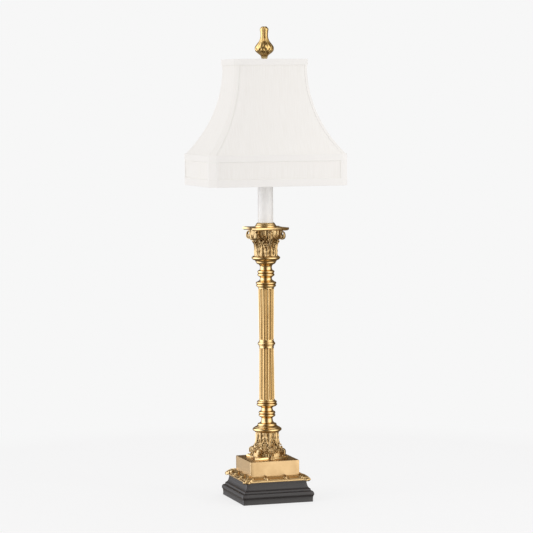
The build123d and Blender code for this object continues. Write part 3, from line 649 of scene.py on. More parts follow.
def capital_surfaces(settings, leaf_top, volute, slab, tip, horn, lip):
    """Leaf capital standing on level 0: bell, eight large leaves with stalks between them, corner brackets
    that end in volutes, curls, a narrow leaf over each face and the slab. volute is the (reach, height,
    radius) of a corner's roll, slab its (low, high) levels and lip the depth of its upright edge. The ground
    above the leaves is chased by 1 - |cos(12 a + 0.34 z)| |cos(12 a - 0.34 z)|. Returns the carved surfaces
    and the slab."""
    reach, roll_height, roll_radius = volute
    slab_low, slab_high = slab
    bell = outline(
        (BORE, 0.0),
        (21.0, 0.0),
        (20.8, 2.0),
        (21.0, leaf_top * 0.55),
        (22.6, leaf_top * 0.95, 0.3),
        (28.6, leaf_top + 7.0, 0.9),
        (30.6, roll_height + 3.0, -0.3),
        (30.8, slab_low + 0.8),
        (BORE, slab_low + 0.8),
        (BORE, 0.0),
    )[:-1]
    angle = np.arange(192) * TURN / 192
    out, level = bell[:, :1], bell[:, 1:]
    ground = smooth(level, leaf_top * 0.15, leaf_top * 0.5) * (1 - smooth(level, slab_low - 3, slab_low))
    ground = ground * (out > 12)
    chased = 1 - np.abs(np.cos(12 * angle + 0.34 * level)) * np.abs(np.cos(12 * angle - 0.34 * level))
    radius = out + (0.9 - settings.chasing * chased) * ground
    wall = np.stack([radius * np.cos(angle), radius * np.sin(angle), level + 0 * radius], -1)
    surfaces = [(wall, True, True)]
    turn = np.degrees(settings.leaf_turn)
    pitch = TURN * LEAF_CIRCLE / LEAVES
    climb = [
        (22.6, -0.3),
        (22.5, leaf_top * 0.16),
        (22.6, leaf_top * 0.34),
        (22.6, leaf_top * 0.52),
        (23.2, leaf_top * 0.70),
        (24.6, leaf_top * 0.85),
        (26.0, leaf_top * 0.96),
        (27.2, leaf_top * 1.01),
        (27.3, leaf_top * 0.96),
    ]
    leaf = leaf_surface(
        climb, pitch * settings.leaf_width, 1.6, settings.leaf_relief, LARGE_LEAF, settings.leaf_lobes
    )
    rise = [
        (20.4, leaf_top * 0.56),
        (21.2, leaf_top * 0.74),
        (22.6, leaf_top * 0.92),
        (25.4, leaf_top * 1.12),
        (29.2, leaf_top * 1.30),
        (31.4, leaf_top * 1.36),
        (31.6, leaf_top * 1.30),
    ]
    stalk = leaf_surface(rise, pitch * 0.42, 1.4, settings.leaf_relief * 0.8, SLIM_LEAF, 3)
    for k in range(LEAVES):
        azimuth = k * 360 / LEAVES + turn
        surfaces.append((bent_round(leaf, azimuth), False, True))
        surfaces.append((bent_round(stalk, azimuth + 180 / LEAVES), False, True))
    top = slab_low - 1.0
    line = scroll_line(
        [
            (24.0, leaf_top * 0.92),
            (27.0, roll_height - 3.5),
            (31.4, roll_height + 4.2),
            (reach - 6.2, top - 1.4),
            (reach - 1.9, top - 2.6),
            (reach - 0.2, roll_height + 4.0),
        ],
        (reach - roll_radius, roll_height),
        roll_radius,
        1.6,
    )
    share = np.linspace(0, 1, len(line))
    bracket = ribbon(
        line,
        np.interp(share, [0, 0.2, 0.36, 0.5, 1], [3.6, 5.2, 6.6, 7.6, 8.0]),
        np.interp(share, [0, 0.3, 0.45, 1], [1.6, 2.6, 2.2, 1.3]),
        16,
    )
    core = barrel((reach - roll_radius, roll_height), roll_radius * 0.62, 7.0)
    web = outline((24.0, roll_height - 4.0), (28.0, roll_height - 6.0), (reach - 7.0, roll_height + 2.0),
                  (reach - 4.5, top + 1.6), (24.0, top + 1.6), (24.0, roll_height - 4.0))[:-1]
    plate = np.stack([np.stack([web[:, 0], 0 * web[:, 0] + y, web[:, 1]], -1) for y in (-2.6, 2.6)])
    for k in range(4):
        corner = 45 + 90 * k
        for part in (bracket, core, capped(plate)):
            surfaces.append((turned_to(part, corner), False, True))
        for hand, away, size, rise in ((1, 21.0, 3.3, 0.0), (-1, 34.5, 2.7, 1.0)):
            for side in (-1, 1):
                boss = faced((30.2, roll_height - 1.0 + rise), size, curl(hand * side), 90 * k + side * away)
                surfaces.append((boss, False, True))
    tip_leaf = [
        (29.6, roll_height - 7.0),
        (31.0, roll_height - 2.0),
        (31.4, roll_height + 3.0),
        (32.0, slab_low - 3.4),
        (33.0, slab_low - 1.2),
        (33.8, slab_low - 0.8),
    ]
    fleuron = leaf_surface(tip_leaf, 11.0, 1.6, settings.leaf_relief * 0.9, SLIM_LEAF, 3)
    for k in range(4):
        surfaces.append((bent_round(fleuron, 90 * k), False, True))
    foot = slab_high - lip
    profile = outline(
        (24.0, slab_low),
        (6.6, slab_low),
        (5.4, slab_low + 0.4),
        (2.2, foot - 0.9, 0.5),
        (1.7, foot - 0.4),
        (0.3, foot),
        (0.0, foot + 0.5),
        (0.0, slab_high - 0.6),
        (0.5, slab_high, -0.15),
        (24.0, slab_high),
    )
    return surfaces, abacus(tip, horn, 5.4, profile)


def bead_rise(t, angle):
    """Height of a round bead: 1.5 sqrt(1 - t^2)."""
    return 1.5 * np.sqrt(1 - t**2) + 0 * angle


def foot_ornament(settings, reach, roll_height, slab_low, slab_high):
    """What the foot capital adds: a horn roll at each corner, and a fan of beads and a ribbed sheaf at each
    face."""
    surfaces = []
    horn_roll = barrel((reach - 3.2, slab_low + 1.8), 3.5, 8.0)
    for k in range(4):
        surfaces.append((turned_to(horn_roll, 45 + 90 * k), False, True))
        for i in range(7):
            spread = radians(-66 + 22 * i)
            across, up = 5.0 * sin(spread), 4.6 * cos(spread)
            azimuth = 90 * k + 5 + np.degrees(across / 32.0)
            bead = faced((31.4, roll_height - 3.6 + up), 1.15, bead_rise, azimuth, 7, 14)
            surfaces.append((bead, False, True))
        sheaf = [
            (31.0, roll_height + 1.0), (33.4, roll_height + 4.4), (34.6, slab_low), (35.6, slab_high - 1.0)
        ]
        ribs = leaf_surface(sheaf, 8.4, 3.0, settings.leaf_relief * 0.8, (0.35, 0.5, 0.7, 0.9, 1.0), 1)
        surfaces.append((turned_to(ribs, 90 * k), False, True))
    return surfaces


# ---- column --------------------------------------------------------------------------------
TURNINGS = {
    "lower_bell": (
        (BORE, 130.6), (23.0, 130.6), (24.6, 131.6, -0.2), (24.8, 132.4), (26.9, 133.4, -0.2),
        (26.6, 138.4, -1.5), (24.8, 139.4), (24.4, 140.2), (20.6, 142.2, 0.5), (18.4, 143.6),
        (18.2, 146.4, -0.35), (17.2, 147.4), (11.2, 153.6, 1.5), (10.9, 155.4), (BORE, 155.4),
    ),
    "lower_neck": (
        (BORE, 155.4), (10.8, 155.4), (10.9, 157.0), (12.8, 159.6, 0.5), (14.6, 160.6), (15.2, 161.2),
        (15.2, 165.2, -1.1), (14.6, 165.7), (15.2, 166.3), (15.2, 170.4, -1.1), (14.4, 171.0),
        (11.4, 174.2, 0.8), (10.6, 177.4), (BORE, 177.4),
    ),
    "lower_collar": (
        (BORE, 177.4), (10.6, 177.4), (11.2, 178.0), (16.2, 180.6, 0.7), (17.6, 181.4), (18.6, 182.2),
        (18.6, 186.6, -1.3), (17.9, 187.1), (18.4, 187.6), (18.4, 191.0, -0.95), (16.6, 191.7),
        (16.4, 192.2), (BORE, 192.2),
    ),
    "middle_ring": (
        (BORE, 297.2), (14.4, 297.2), (14.5, 298.4), (15.3, 299.2), (15.3, 300.2), (15.9, 300.7),
        (15.9, 305.3, -1.15), (15.3, 305.8), (15.2, 306.8), (14.5, 307.4), (14.3, 308.4), (BORE, 308.4),
    ),
    "upper_collar": (
        (BORE, 412.4), (16.6, 412.4), (17.0, 413.4), (18.2, 413.9), (18.2, 417.8, -1.1), (17.8, 418.3),
        (18.6, 418.8), (18.6, 423.0, -1.4), (17.2, 423.6), (14.6, 425.2, 0.3), (12.2, 427.4, 0.3),
        (11.9, 428.2), (BORE, 428.2),
    ),
    "upper_neck": (
        (BORE, 428.2), (11.7, 428.2), (11.4, 430.4, 0.15), (12.8, 432.9, 0.3), (14.4, 433.9), (15.3, 434.5),
        (15.3, 439.1, -1.2), (14.7, 439.6), (15.3, 440.1), (15.3, 444.7, -1.2), (14.4, 445.4),
        (11.8, 448.6, 0.7), (11.4, 451.0), (BORE, 451.0),
    ),
    "upper_bell": (
        (BORE, 451.0), (11.4, 451.0), (11.6, 452.6), (17.4, 458.0, 1.2), (18.6, 460.0), (19.4, 460.6),
        (19.4, 462.0), (20.4, 462.6), (23.4, 465.4, 0.7), (24.6, 465.9), (25.6, 466.5), (26.4, 467.4),
        (26.4, 472.0, -1.3), (25.0, 472.8), (24.2, 473.6), (BORE, 473.6),
    ),
}


def fluted(low, high, r_low, r_high, settings, ends=(2.0, 2.0), inner=9.6):
    """Tapered shaft with flutes. Its radius is the taper's less
    depth * sqrt(1 - (x / half groove)^2 - (1 - e)^2), where x is the distance round from a flute's middle and
    e runs from 0 at a flute's end to 1 inside it. The lands between flutes fall by 0.22 at their middles."""
    flutes = settings.flutes
    pitch = TURN / flutes
    spots = np.arange(-0.5, 0.49, 1 / 18)
    angle = (np.arange(flutes)[:, None] * pitch + spots * pitch).ravel() + settings.flute_turn
    offset = np.broadcast_to(spots * pitch, (flutes, len(spots))).ravel()
    near = np.array([0.0, 0.4, 0.8, 1.2, 1.6, 2.0, 2.5, 3.0, 3.6, 4.2])
    height = np.concatenate([low + near, np.linspace(low + 5.2, high - 5.2, 26), (high - near)[::-1]])
    radius = r_low + (r_high - r_low) * (height - low) / (high - low)
    groove = pitch * settings.groove_share / 2
    inside = np.clip(np.minimum(height - low - ends[0], high - ends[1] - height) / settings.run_out, 0, 1)
    hollow = np.clip(1 - (offset / groove) ** 2 - (1 - inside[:, None]) ** 2, 0, 1)
    depth = np.where(inside[:, None] > 0, settings.groove_depth * np.sqrt(hollow), 0)
    land = pitch / 2 - groove
    brow = np.clip(1 - (pitch / 2 - np.abs(offset)) / land, 0, 1)
    depth = depth + 0.22 * brow**2 * inside[:, None] * (np.abs(offset) >= groove)
    depth = np.where((np.abs(offset) < groove)[None], np.maximum(depth, 0.22 * inside[:, None]), depth)
    outer = radius[:, None] - depth
    ring = np.concatenate([np.full((1, len(angle)), inner), outer, np.full((1, len(angle)), inner)])
    level = np.concatenate([[low], height, [high]])
    points = np.stack([ring * np.cos(angle), ring * np.sin(angle), level[:, None] + 0 * ring], -1)
    return points, True, True


# ---- shade ---------------------------------------------------------------------------------
CURVE_TOP = 838.0
GALLERY_TOP = 671.0
SHADE_LOW = 610.5
SHADE_HIGH = 852.5
TOP_HALF = (72.6, 50.2)
LOW_HALF = (136.9, 94.8)
CUTS = (7.3, 11.3)
CLOTH = 1.2


def swell(z, top, low):
    """Half size of the shade at a height: top + R - sqrt(R^2 - fall^2), with R the circle through both
    ends."""
    drop = CURVE_TOP - GALLERY_TOP
    spread = low - top
    radius = (drop * drop + spread * spread) / (2 * spread)
    fall = np.clip(CURVE_TOP - z, 0, drop)
    return top + radius - np.sqrt(radius * radius - fall * fall)


def shade_corners(z):
    """Half width, half depth and corner cut of the shade at each height."""
    wide = swell(z, TOP_HALF[0], LOW_HALF[0])
    deep = swell(z, TOP_HALF[1], LOW_HALF[1])
    share = (wide - TOP_HALF[0]) / (LOW_HALF[0] - TOP_HALF[0])
    return wide, deep, CUTS[0] + (CUTS[1] - CUTS[0]) * share


def cloth_sheet(outer, inner, lengths):
    """Closed thin sheet from its outer and inner grids; the first and last rows are drawn together. Returns
    the surface and each point's place on the flat cloth."""
    middle = (outer + inner) / 2
    grid = np.concatenate([outer, inner[:, ::-1]], axis=1)
    ends = np.concatenate([middle, middle[:, ::-1]], axis=1)
    points = np.concatenate([ends[:1], grid, ends[-1:]])
    across = np.concatenate([lengths[0], lengths[0][:, ::-1]], axis=1)
    along = np.concatenate([lengths[1], lengths[1][:, ::-1]], axis=1)
    flat = np.stack([across, along, 0 * across], -1)
    flat = np.concatenate([flat[:1], flat, flat[-1:]]) * 0.001
    return (points, False, True), flat.reshape(-1, 3)


def cloth_heights():
    """Heights of a panel's rows, from just under the gallery's edge to just under the top."""
    curved = np.linspace(GALLERY_TOP - 1.0, CURVE_TOP, 54)
    return np.concatenate([curved, np.linspace(CURVE_TOP, SHADE_HIGH - 0.6, 5)[1:]])


def panel(side, tension):
    """One swept panel facing -Y (side 0) or +X (side 1): between its seams it follows the swell, and pulls in
    by tension * (1 - t^2) between the frame's ribs. The edges roll in by 1 mm as |t|^50."""
    z = cloth_heights()
    wide, deep, cut = shade_corners(z)
    half_run = (wide if side == 0 else deep) - cut - 0.8
    face = deep if side == 0 else wide
    t = np.sin(np.linspace(-1, 1, 41) * pi / 2)
    t = t * 0.5 + np.linspace(-1, 1, 41) * 0.5
    run = half_run[:, None] * t
    middle = smooth(z, GALLERY_TOP, GALLERY_TOP + 40) * (1 - smooth(z, CURVE_TOP - 30, CURVE_TOP))
    pulled = tension * middle[:, None] * (1 - t**2)
    roll = np.abs(t) ** 50
    out = face[:, None] - pulled - roll
    outer = np.stack([run, -out, z[:, None] + 0 * run], -1)
    inner = np.stack([run, -(out - CLOTH), z[:, None] + 0 * run], -1)
    step = np.hypot(np.gradient(face), np.gradient(z))
    along = np.cumsum(step)[:, None] + 0 * run
    surface, flat = cloth_sheet(outer, inner, (run, along))
    return surface, flat, float(2 * half_run.max()), float(step.sum()), float((2 * half_run * step).sum())


def strip():
    """Narrow cloth strip over the cut corner at the front right, with the same swell."""
    z = cloth_heights()
    wide, deep, cut = shade_corners(z)
    t = np.linspace(0, 1, 9)
    gap = 0.055
    share = gap + (1 - 2 * gap) * t
    x = (wide - cut)[:, None] + cut[:, None] * share
    y = -deep[:, None] + cut[:, None] * share
    roll = 0.7 * np.abs(2 * t - 1) ** 16
    diagonal = 1 / sqrt(2)
    outer = np.stack([x - roll * diagonal, y + roll * diagonal, z[:, None] + 0 * x], -1)
    inward = roll + CLOTH
    inner = np.stack([x - inward * diagonal, y + inward * diagonal, z[:, None] + 0 * x], -1)
    step = np.hypot(np.hypot(np.gradient(wide - cut / 2), np.gradient(deep - cut / 2)), np.gradient(z))
    width = cut * sqrt(2)
    surface, flat = cloth_sheet(outer, inner, (width[:, None] * t, np.cumsum(step)[:, None] + 0 * x))
    return surface, flat, float(width.max()), float(step.sum()), float((width * step).sum())


def octagon_run(wide, deep, cut, spacing=4.0, bend=0.9):
    """Closed loop round a rectangle with cut corners, its eight bends eased by the given radius: points,
    outward normals and the distance round."""
    corners = np.array([
        (wide - cut, -deep), (wide, -deep + cut), (wide, deep - cut), (wide - cut, deep),
        (-wide + cut, deep), (-wide, deep - cut), (-wide, -deep + cut), (-wide + cut, -deep),
    ])
    loop = []
    for i in range(8):
        here = corners[i]
        before = corners[i - 1] - here
        after = corners[(i + 1) % 8] - here
        start = here + before / np.linalg.norm(before) * bend
        end = here + after / np.linalg.norm(after) * bend
        t = np.linspace(0, 1, 5)[:, None]
        loop.append(start * (1 - t) ** 2 + here * 2 * t * (1 - t) + end * t**2)
        run = np.linalg.norm(after) - 2 * bend
        count = max(2, int(run / spacing))
        nxt = corners[(i + 1) % 8] - after / np.linalg.norm(after) * bend
        t = (np.arange(1, count) / count)[:, None]
        loop.append(end * (1 - t) + nxt * t)
    points = np.concatenate(loop)
    tangent = np.roll(points, -1, 0) - np.roll(points, 1, 0)
    tangent /= np.linalg.norm(tangent, axis=1, keepdims=True)
    normal = np.stack([tangent[:, 1], -tangent[:, 0]], 1)
    steps = np.linalg.norm(np.roll(points, -1, 0) - points, axis=1)
    return points, normal, np.concatenate([[0], np.cumsum(steps)[:-1]]), float(steps.sum())


def band(wide, deep, cut, profile):
    """Cloth band: the closed (outset, height) profile run round the cut-corner rectangle."""
    points, normal, distance, length = octagon_run(wide, deep, cut)
    flat = points[None] + normal[None] * profile[:, 0][:, None, None]
    height = np.broadcast_to(profile[:, 1][:, None, None], (*flat.shape[:2], 1))
    cloth = np.stack(
        [np.broadcast_to(distance, flat.shape[:2]), height[..., 0], np.zeros(flat.shape[:2])], -1
    )
    return (np.concatenate([flat, height], -1), True, True), cloth.reshape(-1, 3) * 0.001, length


def tape_profile(low, high, proud, under=0.02):
    """Closed section of a folded tape lying just off the cloth, with rounded edges."""
    return outline(
        (under, low),
        (proud - 0.5, low),
        (proud, low + 0.8, -0.2),
        (proud, high - 0.8),
        (proud - 0.5, high, -0.2),
        (under, high),
        (under, low),
        step=0.5,
    )[:-1]


def corner_tape(wide, deep, cut, low, high, proud):
    """Upright tape folded round the cut corner at the front right and 4 mm on past both its bends."""
    loop, normal, _, _ = octagon_run(wide, deep, cut)
    count = 9 + max(2, int((cut * sqrt(2) - 1.8) / 4.0))
    path = np.concatenate([loop[:1] - (4.0, 0), loop[:count], loop[count - 1:count] + (0, 4.0)])
    side = np.concatenate([[(0.0, -1.0)], normal[:count], [(1.0, 0.0)]])
    side[1], side[-2] = side[0], side[-1]
    height = np.linspace(low - 0.3, high + 0.3, 7)[:, None]
    rise = height + 0 * path[None, :, 0]
    outer, inner = (
        np.stack([np.broadcast_to(p[:, 0], rise.shape), np.broadcast_to(p[:, 1], rise.shape), rise], -1)
        for p in (path + side * proud, path + side * 0.05)
    )
    steps = np.linalg.norm(np.diff(path, axis=0), axis=1)
    run = np.concatenate([[0], np.cumsum(steps)])
    surface, flat = cloth_sheet(outer, inner, (run + 0 * rise, rise))
    return surface[0], flat, float(run[-1])


# ---- finial --------------------------------------------------------------------------------
def finial_surface(settings):
    """Cast bud. Its radius over the height is a smooth line through the measured waist, belly and tip, less
    grooves exp(-(x / 0.24)^2) between the three lobes of the neck, flutes 1 - |cos(6 a)|^0.7 between twelve
    petals on the shoulder, pits under their tips and small leaves |cos(6 a)| |cos z| round the belly."""
    z = np.concatenate([np.linspace(856.6, 895, 78), np.linspace(895, 912.6, 40)[1:]])
    levels = [
        856.6, 858.5, 860.5, 862.5, 864.5, 868.0, 872.0, 876.0, 879.5, 883.0, 887.0, 891.0, 896.0, 901.0, 906.0,
        909.5, 911.6, 912.6,
    ]
    radii = [6.2, 7.0, 8.8, 11.6, 14.2, 17.4, 18.5, 18.0, 16.0, 13.2, 10.2, 8.4, 7.3, 7.3, 7.8, 8.3, 7.7, 6.6]
    radius = curve_at(z, levels, radii)[:, None]
    z = z[:, None]
    columns = 180
    angle = np.arange(columns) * TURN / columns
    turn = settings.twist * (z - 900.0) / 20.0
    facing = angle + turn + radians(107.4)
    away = np.abs((facing + TURN / 6) % (TURN / 3) - TURN / 6)
    lobe = 1 - np.exp(-((away / 0.24) ** 2))
    neck = smooth(z, 878.0, 890.0)
    groove = settings.lobe_depth * (1 - lobe) * neck
    fan = np.abs(np.cos(6 * facing)) ** 0.7
    petal_zone = smooth(z, 871.0, 878.0) * (1 - smooth(z, 886.0, 897.0))
    petals = 0.9 * (1 - fan) * petal_zone
    tips = np.exp(-(((z - 871.0) / 2.2) ** 2)) * (1 - np.abs(np.sin(6 * facing)) ** 0.8)
    belly = smooth(z, 858.0, 862.0) * (1 - smooth(z, 868.0, 872.0))
    leaves = np.abs(np.cos(6 * facing + 0.25 * (z - 860))) * np.abs(np.cos((z - 857) * 0.36))
    radius = radius - groove - petals - settings.carving * (2.0 * tips + 0.9 * leaves * belly)
    points = np.stack([radius * np.cos(angle), radius * np.sin(angle), z + 0 * radius], -1)
    inner = np.linspace(1, 0.0, 10)[1:, None]
    crown = 1 - 0.65 * (1 - lobe[-1]) * inner
    dome = 912.6 + (3.0 * np.sqrt(1 - inner**2) * crown - 1.3 * np.exp(-((inner / 0.3) ** 2)))
    cap = points[-1] * np.array([1, 1, 0]) * inner[..., None] + np.array([0, 0, 1.0]) * dome[..., None]
    return capped(np.concatenate([points, cap])), False, True


# ---- settings --------------------------------------------------------------------------------
def length_setting(name, about, default):
    """A size in the frame's units."""
    return bpy.props.FloatProperty(name=name, description=about, default=default, unit="LENGTH", precision=4)


def tone_setting(name, about, default, brightest=1.0):
    """A linear colour."""
    return bpy.props.FloatVectorProperty(
        name=name, description=about, default=default, subtype="COLOR", size=3, min=0.0, max=brightest
    )


def light_setting(name, about, default):
    """A linear colour that may be brighter than white."""
    return tone_setting(name, about, default, 4.0)


def number_setting(name, about, default, low, high):
    """A plain number between two limits."""
    return bpy.props.FloatProperty(name=name, description=about, default=default, min=low, max=high)


def count_setting(name, about, default, low, high):
    """A whole number between two limits."""
    return bpy.props.IntProperty(name=name, description=about, default=default, min=low, max=high)


def angle_setting(name, about, default):
    """An angle, kept in radians."""
    return bpy.props.FloatProperty(name=name, description=about, default=default, subtype="ANGLE")


class LampFinishSettings(bpy.types.PropertyGroup):
    """Colours of the lamp's finishes."""

    brass_bright: tone_setting("Brass", "Rubbed faces of the antique brass", (0.79, 0.568, 0.275))
    # The patina tone: laid into hollows and crevices it is painted shade as well.
    brass_dark: tone_setting("Patina", "Dark patina in hollows and crevices", (0.265, 0.136, 0.032))
    # A lighter copy of the brass for the slabs: a painted highlight.
    slab_highlight_tone: tone_setting("Slab brass", "Polished slabs of the capitals", (0.86, 0.62, 0.31))
    # A darker copy of the brass for the leaves and the tray: painted shade in the carving.
    carved_shaded_tone: tone_setting("Carved brass", "Raised parts of the leaves", (0.64, 0.466, 0.242))
    # A darker copy of the brass for the box: painted shade on its faces.
    box_brass_shaded: tone_setting("Box brass", "Satin faces of the plain box", (0.62, 0.44, 0.238))
    cast_bright: tone_setting("Cast brass", "Raised parts of the finial", (0.66, 0.46, 0.19))
    wood_black: tone_setting("Black paint", "Paint of the moulded base", (0.026, 0.024, 0.026))
    wood_rubbed: tone_setting(
        "Rubbed edge", "Reddish brown that shows where the paint is rubbed", (0.085, 0.045, 0.036)
    )
    cloth: tone_setting("Cloth", "Shade cloth", (0.88, 0.865, 0.83))
    cloth_slub: tone_setting("Slub", "Thicker threads of the cloth", (0.83, 0.81, 0.765))
    tape: tone_setting("Tape", "Tapes that bind the shade", (0.865, 0.85, 0.82))
    # Set at full white, brighter than the plastic, to lift the sleeve out of the shade's shadow: painted light.
    sleeve: tone_setting("Candle sleeve", "Satin white sleeve", (1.0, 0.995, 0.98))


class LampBaseSettings(bpy.types.PropertyGroup):
    """Sizes of the base, tray and box."""

    side: length_setting("Base side", "Widest side of the base", 0.1430)
    base_corner: length_setting("Base corner", "Rounding of the base's upright corners", 0.0008)
    box_side: length_setting("Box side", "Side of the plain box", 0.0984)
    box_corner: length_setting("Box corner", "Rounding of the box's upright corners", 0.0010)


class LampCapitalSettings(bpy.types.PropertyGroup):
    """Shape of the leaves on both capitals."""

    leaf_turn: angle_setting("Leaf turn", "Turn of the leaves against the slab's corners", radians(6))
    leaf_lobes: count_setting("Leaf lobes", "Lobes on each side of a leaf", 4, 2, 7)
    chasing: number_setting(
        "Chasing", "Depth of the chased ground above the leaves, in millimetres", 2.2, 0.0, 4.0
    )
    leaf_relief: number_setting("Leaf relief", "Height of ribs and flutes, in millimetres", 0.95, 0.1, 3.0)
    leaf_width: number_setting("Leaf width", "Width of a leaf as a share of its pitch", 0.98, 0.5, 1.4)


class LampColumnSettings(bpy.types.PropertyGroup):
    """Flutes of the two shafts."""

    flutes: count_setting("Flutes", "Flutes round a shaft", 16, 8, 32)
    flute_turn: angle_setting("Flute turn", "Turn of the flutes against the front", radians(11.25))
    groove_share: number_setting("Groove share", "Groove width as a share of its pitch", 0.72, 0.3, 0.95)
    groove_depth: number_setting("Groove depth", "Depth of a flute, in millimetres", 1.25, 0.2, 2.5)
    run_out: number_setting("Run-out", "Length of a flute's rounded end, in millimetres", 2.2, 0.4, 6.0)


class LampShadeSettings(bpy.types.PropertyGroup):
    """Cloth and tapes of the shade."""

    tension: number_setting(
        "Draw", "How far a panel draws in between its seams, in millimetres", 0.6, 0.0, 4.0
    )
    tape_proud: length_setting("Tape", "How far a tape stands off the cloth", 0.0015)
    top_tape: length_setting("Top tape", "Height of the tape round the top", 0.0120)
    gallery_tape: length_setting("Gallery tape", "Height of the tape at the gallery's upper edge", 0.0130)
    corner_tape: length_setting(
        "Corner tape", "How far the tape on the gallery's corners stands off the cloth", 0.0011
    )
    bottom_tape: length_setting("Bottom tape", "Height of the tape at the lower edge", 0.0145)


class LampFinialSettings(bpy.types.PropertyGroup):
    """Carving of the finial."""

    lobe_depth: number_setting(
        "Groove depth", "Depth of the grooves between the neck's lobes, in millimetres", 2.8, 0.0, 4.0
    )
    twist: angle_setting("Twist", "Turn of the lobes over 20 mm of height", 0.05)
    carving: number_setting("Carving", "Depth of the pits round the belly, in millimetres", 0.9, 0.0, 2.5)


class LampStageSettings(bpy.types.PropertyGroup):
    """Floor, lights and camera."""

    floor_tone: tone_setting("Floor", "Colour of floor and background", (0.93, 0.93, 0.93))
    even_tone: light_setting("Even light", "Light from all round on dull surfaces", (0.745, 0.733, 0.738))
    room_tone: light_setting("Room", "Dim room that glossy surfaces mirror", (0.15, 0.115, 0.072))
    left_tone: light_setting(
        "Left window", "Soft window at the left that glossy surfaces mirror", (2.52, 2.60, 2.78)
    )
    right_tone: light_setting(
        "Right window", "Soft window at the right that glossy surfaces mirror", (2.10, 2.05, 1.95)
    )
    floor_glow: number_setting("Floor glow", "Share of the floor's own glow beside the lamp", 0.8, 0.0, 1.0)
    floor_radius: length_setting("Floor radius", "Radius of the floor disc", 9.0)
    left_power: bpy.props.FloatProperty(
        name="Left light", description="Strength of the light at the left, in watts", default=14.5, min=0.0
    )
    right_power: bpy.props.FloatProperty(
        name="Right light", description="Strength of the light at the right, in watts", default=2.2, min=0.0
    )


# ---- operators -------------------------------------------------------------------------------
class LAMP_OT_finishes(bpy.types.Operator):
    """Make the lamp's materials"""

    bl_idname = "lamp.finishes"
    bl_label = "Finishes"

    def execute(self, context):
        tones = context.scene.lamp_finishes
        bright, dark = tuple(tones.brass_bright), tuple(tones.brass_dark)
        # Last numbers of each brass: recess levels, share of patina and painted shade in recesses, share of painted
        # shade and patina in crevices.
        brass("turned_brass", bright, dark, 0.17, 0.27, (8, 8, 90), 0.6, (0.02, 0.10), 0.45)
        brass("fluted_brass", bright, dark, 0.20, 0.30, (60, 60, 6), 0.8, (-0.02, 0.03), 0.0)
        # Darker brass for the carving: painted shade.
        brass("carved_brass_shaded", tuple(tones.carved_shaded_tone), dark, 0.30, 0.42, (40, 40, 40), 0.85, (-0.05, 0.11), 0.7)
        # Lighter brass on the slabs: a painted highlight.
        brass("slab_brass_highlight", tuple(tones.slab_highlight_tone), dark, 0.16, 0.26, (60, 60, 60), 0.4, (0.03, 0.12), 0.2)
        # Darker brass for the box: painted shade.
        brass("box_brass_shaded", tuple(tones.box_brass_shaded), dark, 0.34, 0.46, (60, 60, 14), 0.35, (0.03, 0.12), 0.0)
        brass("finial_brass", tuple(tones.cast_bright), dark, 0.22, 0.34, (40, 40, 40), 0.95, (-0.012, 0.03), 0.95)
        black_paint("base_paint", tuple(tones.wood_black), tuple(tones.wood_rubbed))
        slub_cloth("shade_cloth", tuple(tones.cloth), tuple(tones.cloth_slub))
        slub_cloth("shade_tape_cloth", tuple(tones.tape), tuple(tones.cloth), 1.4)
        # The sleeve's white is raised to full to make up for the shade's shadow on it: painted light.
        plain_finish("sleeve_white", tuple(tones.sleeve), (0.95, 0.94, 0.92), 0.22, 0.32, 18.0, 0.0, 0.05)
        plain_finish("bright_brass", (0.88, 0.66, 0.33), (0.80, 0.56, 0.25), 0.14, 0.26, 40.0, 1.0)
        plain_finish("socket_brass", (0.86, 0.66, 0.34), (0.76, 0.55, 0.26), 0.22, 0.36, 60.0, 1.0, 0.1, (1, 1, 8))
        plain_finish("zinc", (0.62, 0.62, 0.60), (0.50, 0.50, 0.49), 0.28, 0.42, 70.0, 1.0)
        plain_finish("bulb_metal", (0.78, 0.78, 0.79), (0.66, 0.66, 0.67), 0.2, 0.32, 70.0, 1.0)
        plain_finish("frame_enamel", (0.82, 0.81, 0.78), (0.74, 0.73, 0.70), 0.3, 0.42, 60.0)
        plain_finish("phenolic", (0.022, 0.018, 0.016), (0.032, 0.026, 0.022), 0.24, 0.34, 50.0)
        plain_finish("liner_board", (0.36, 0.24, 0.13), (0.28, 0.18, 0.09), 0.75, 0.9, 90.0, 0.0, 0.4)
        plain_finish("rubber", (0.02, 0.02, 0.02), (0.03, 0.03, 0.03), 0.6, 0.75, 80.0, 0.0, 0.3)
        felt = plain_finish("felt", (0.045, 0.07, 0.04), (0.03, 0.05, 0.03), 0.9, 1.0, 120.0, 0.0, 0.9)
        felt.shader.inputs["Sheen Weight"].default_value = 0.4
        glass = plain_finish("frosted_glass", (0.93, 0.93, 0.91), (0.90, 0.90, 0.88), 0.22, 0.34, 30.0, 0.0, 0.03)
        glass.shader.inputs["Transmission Weight"].default_value = 0.35
        return {"FINISHED"}


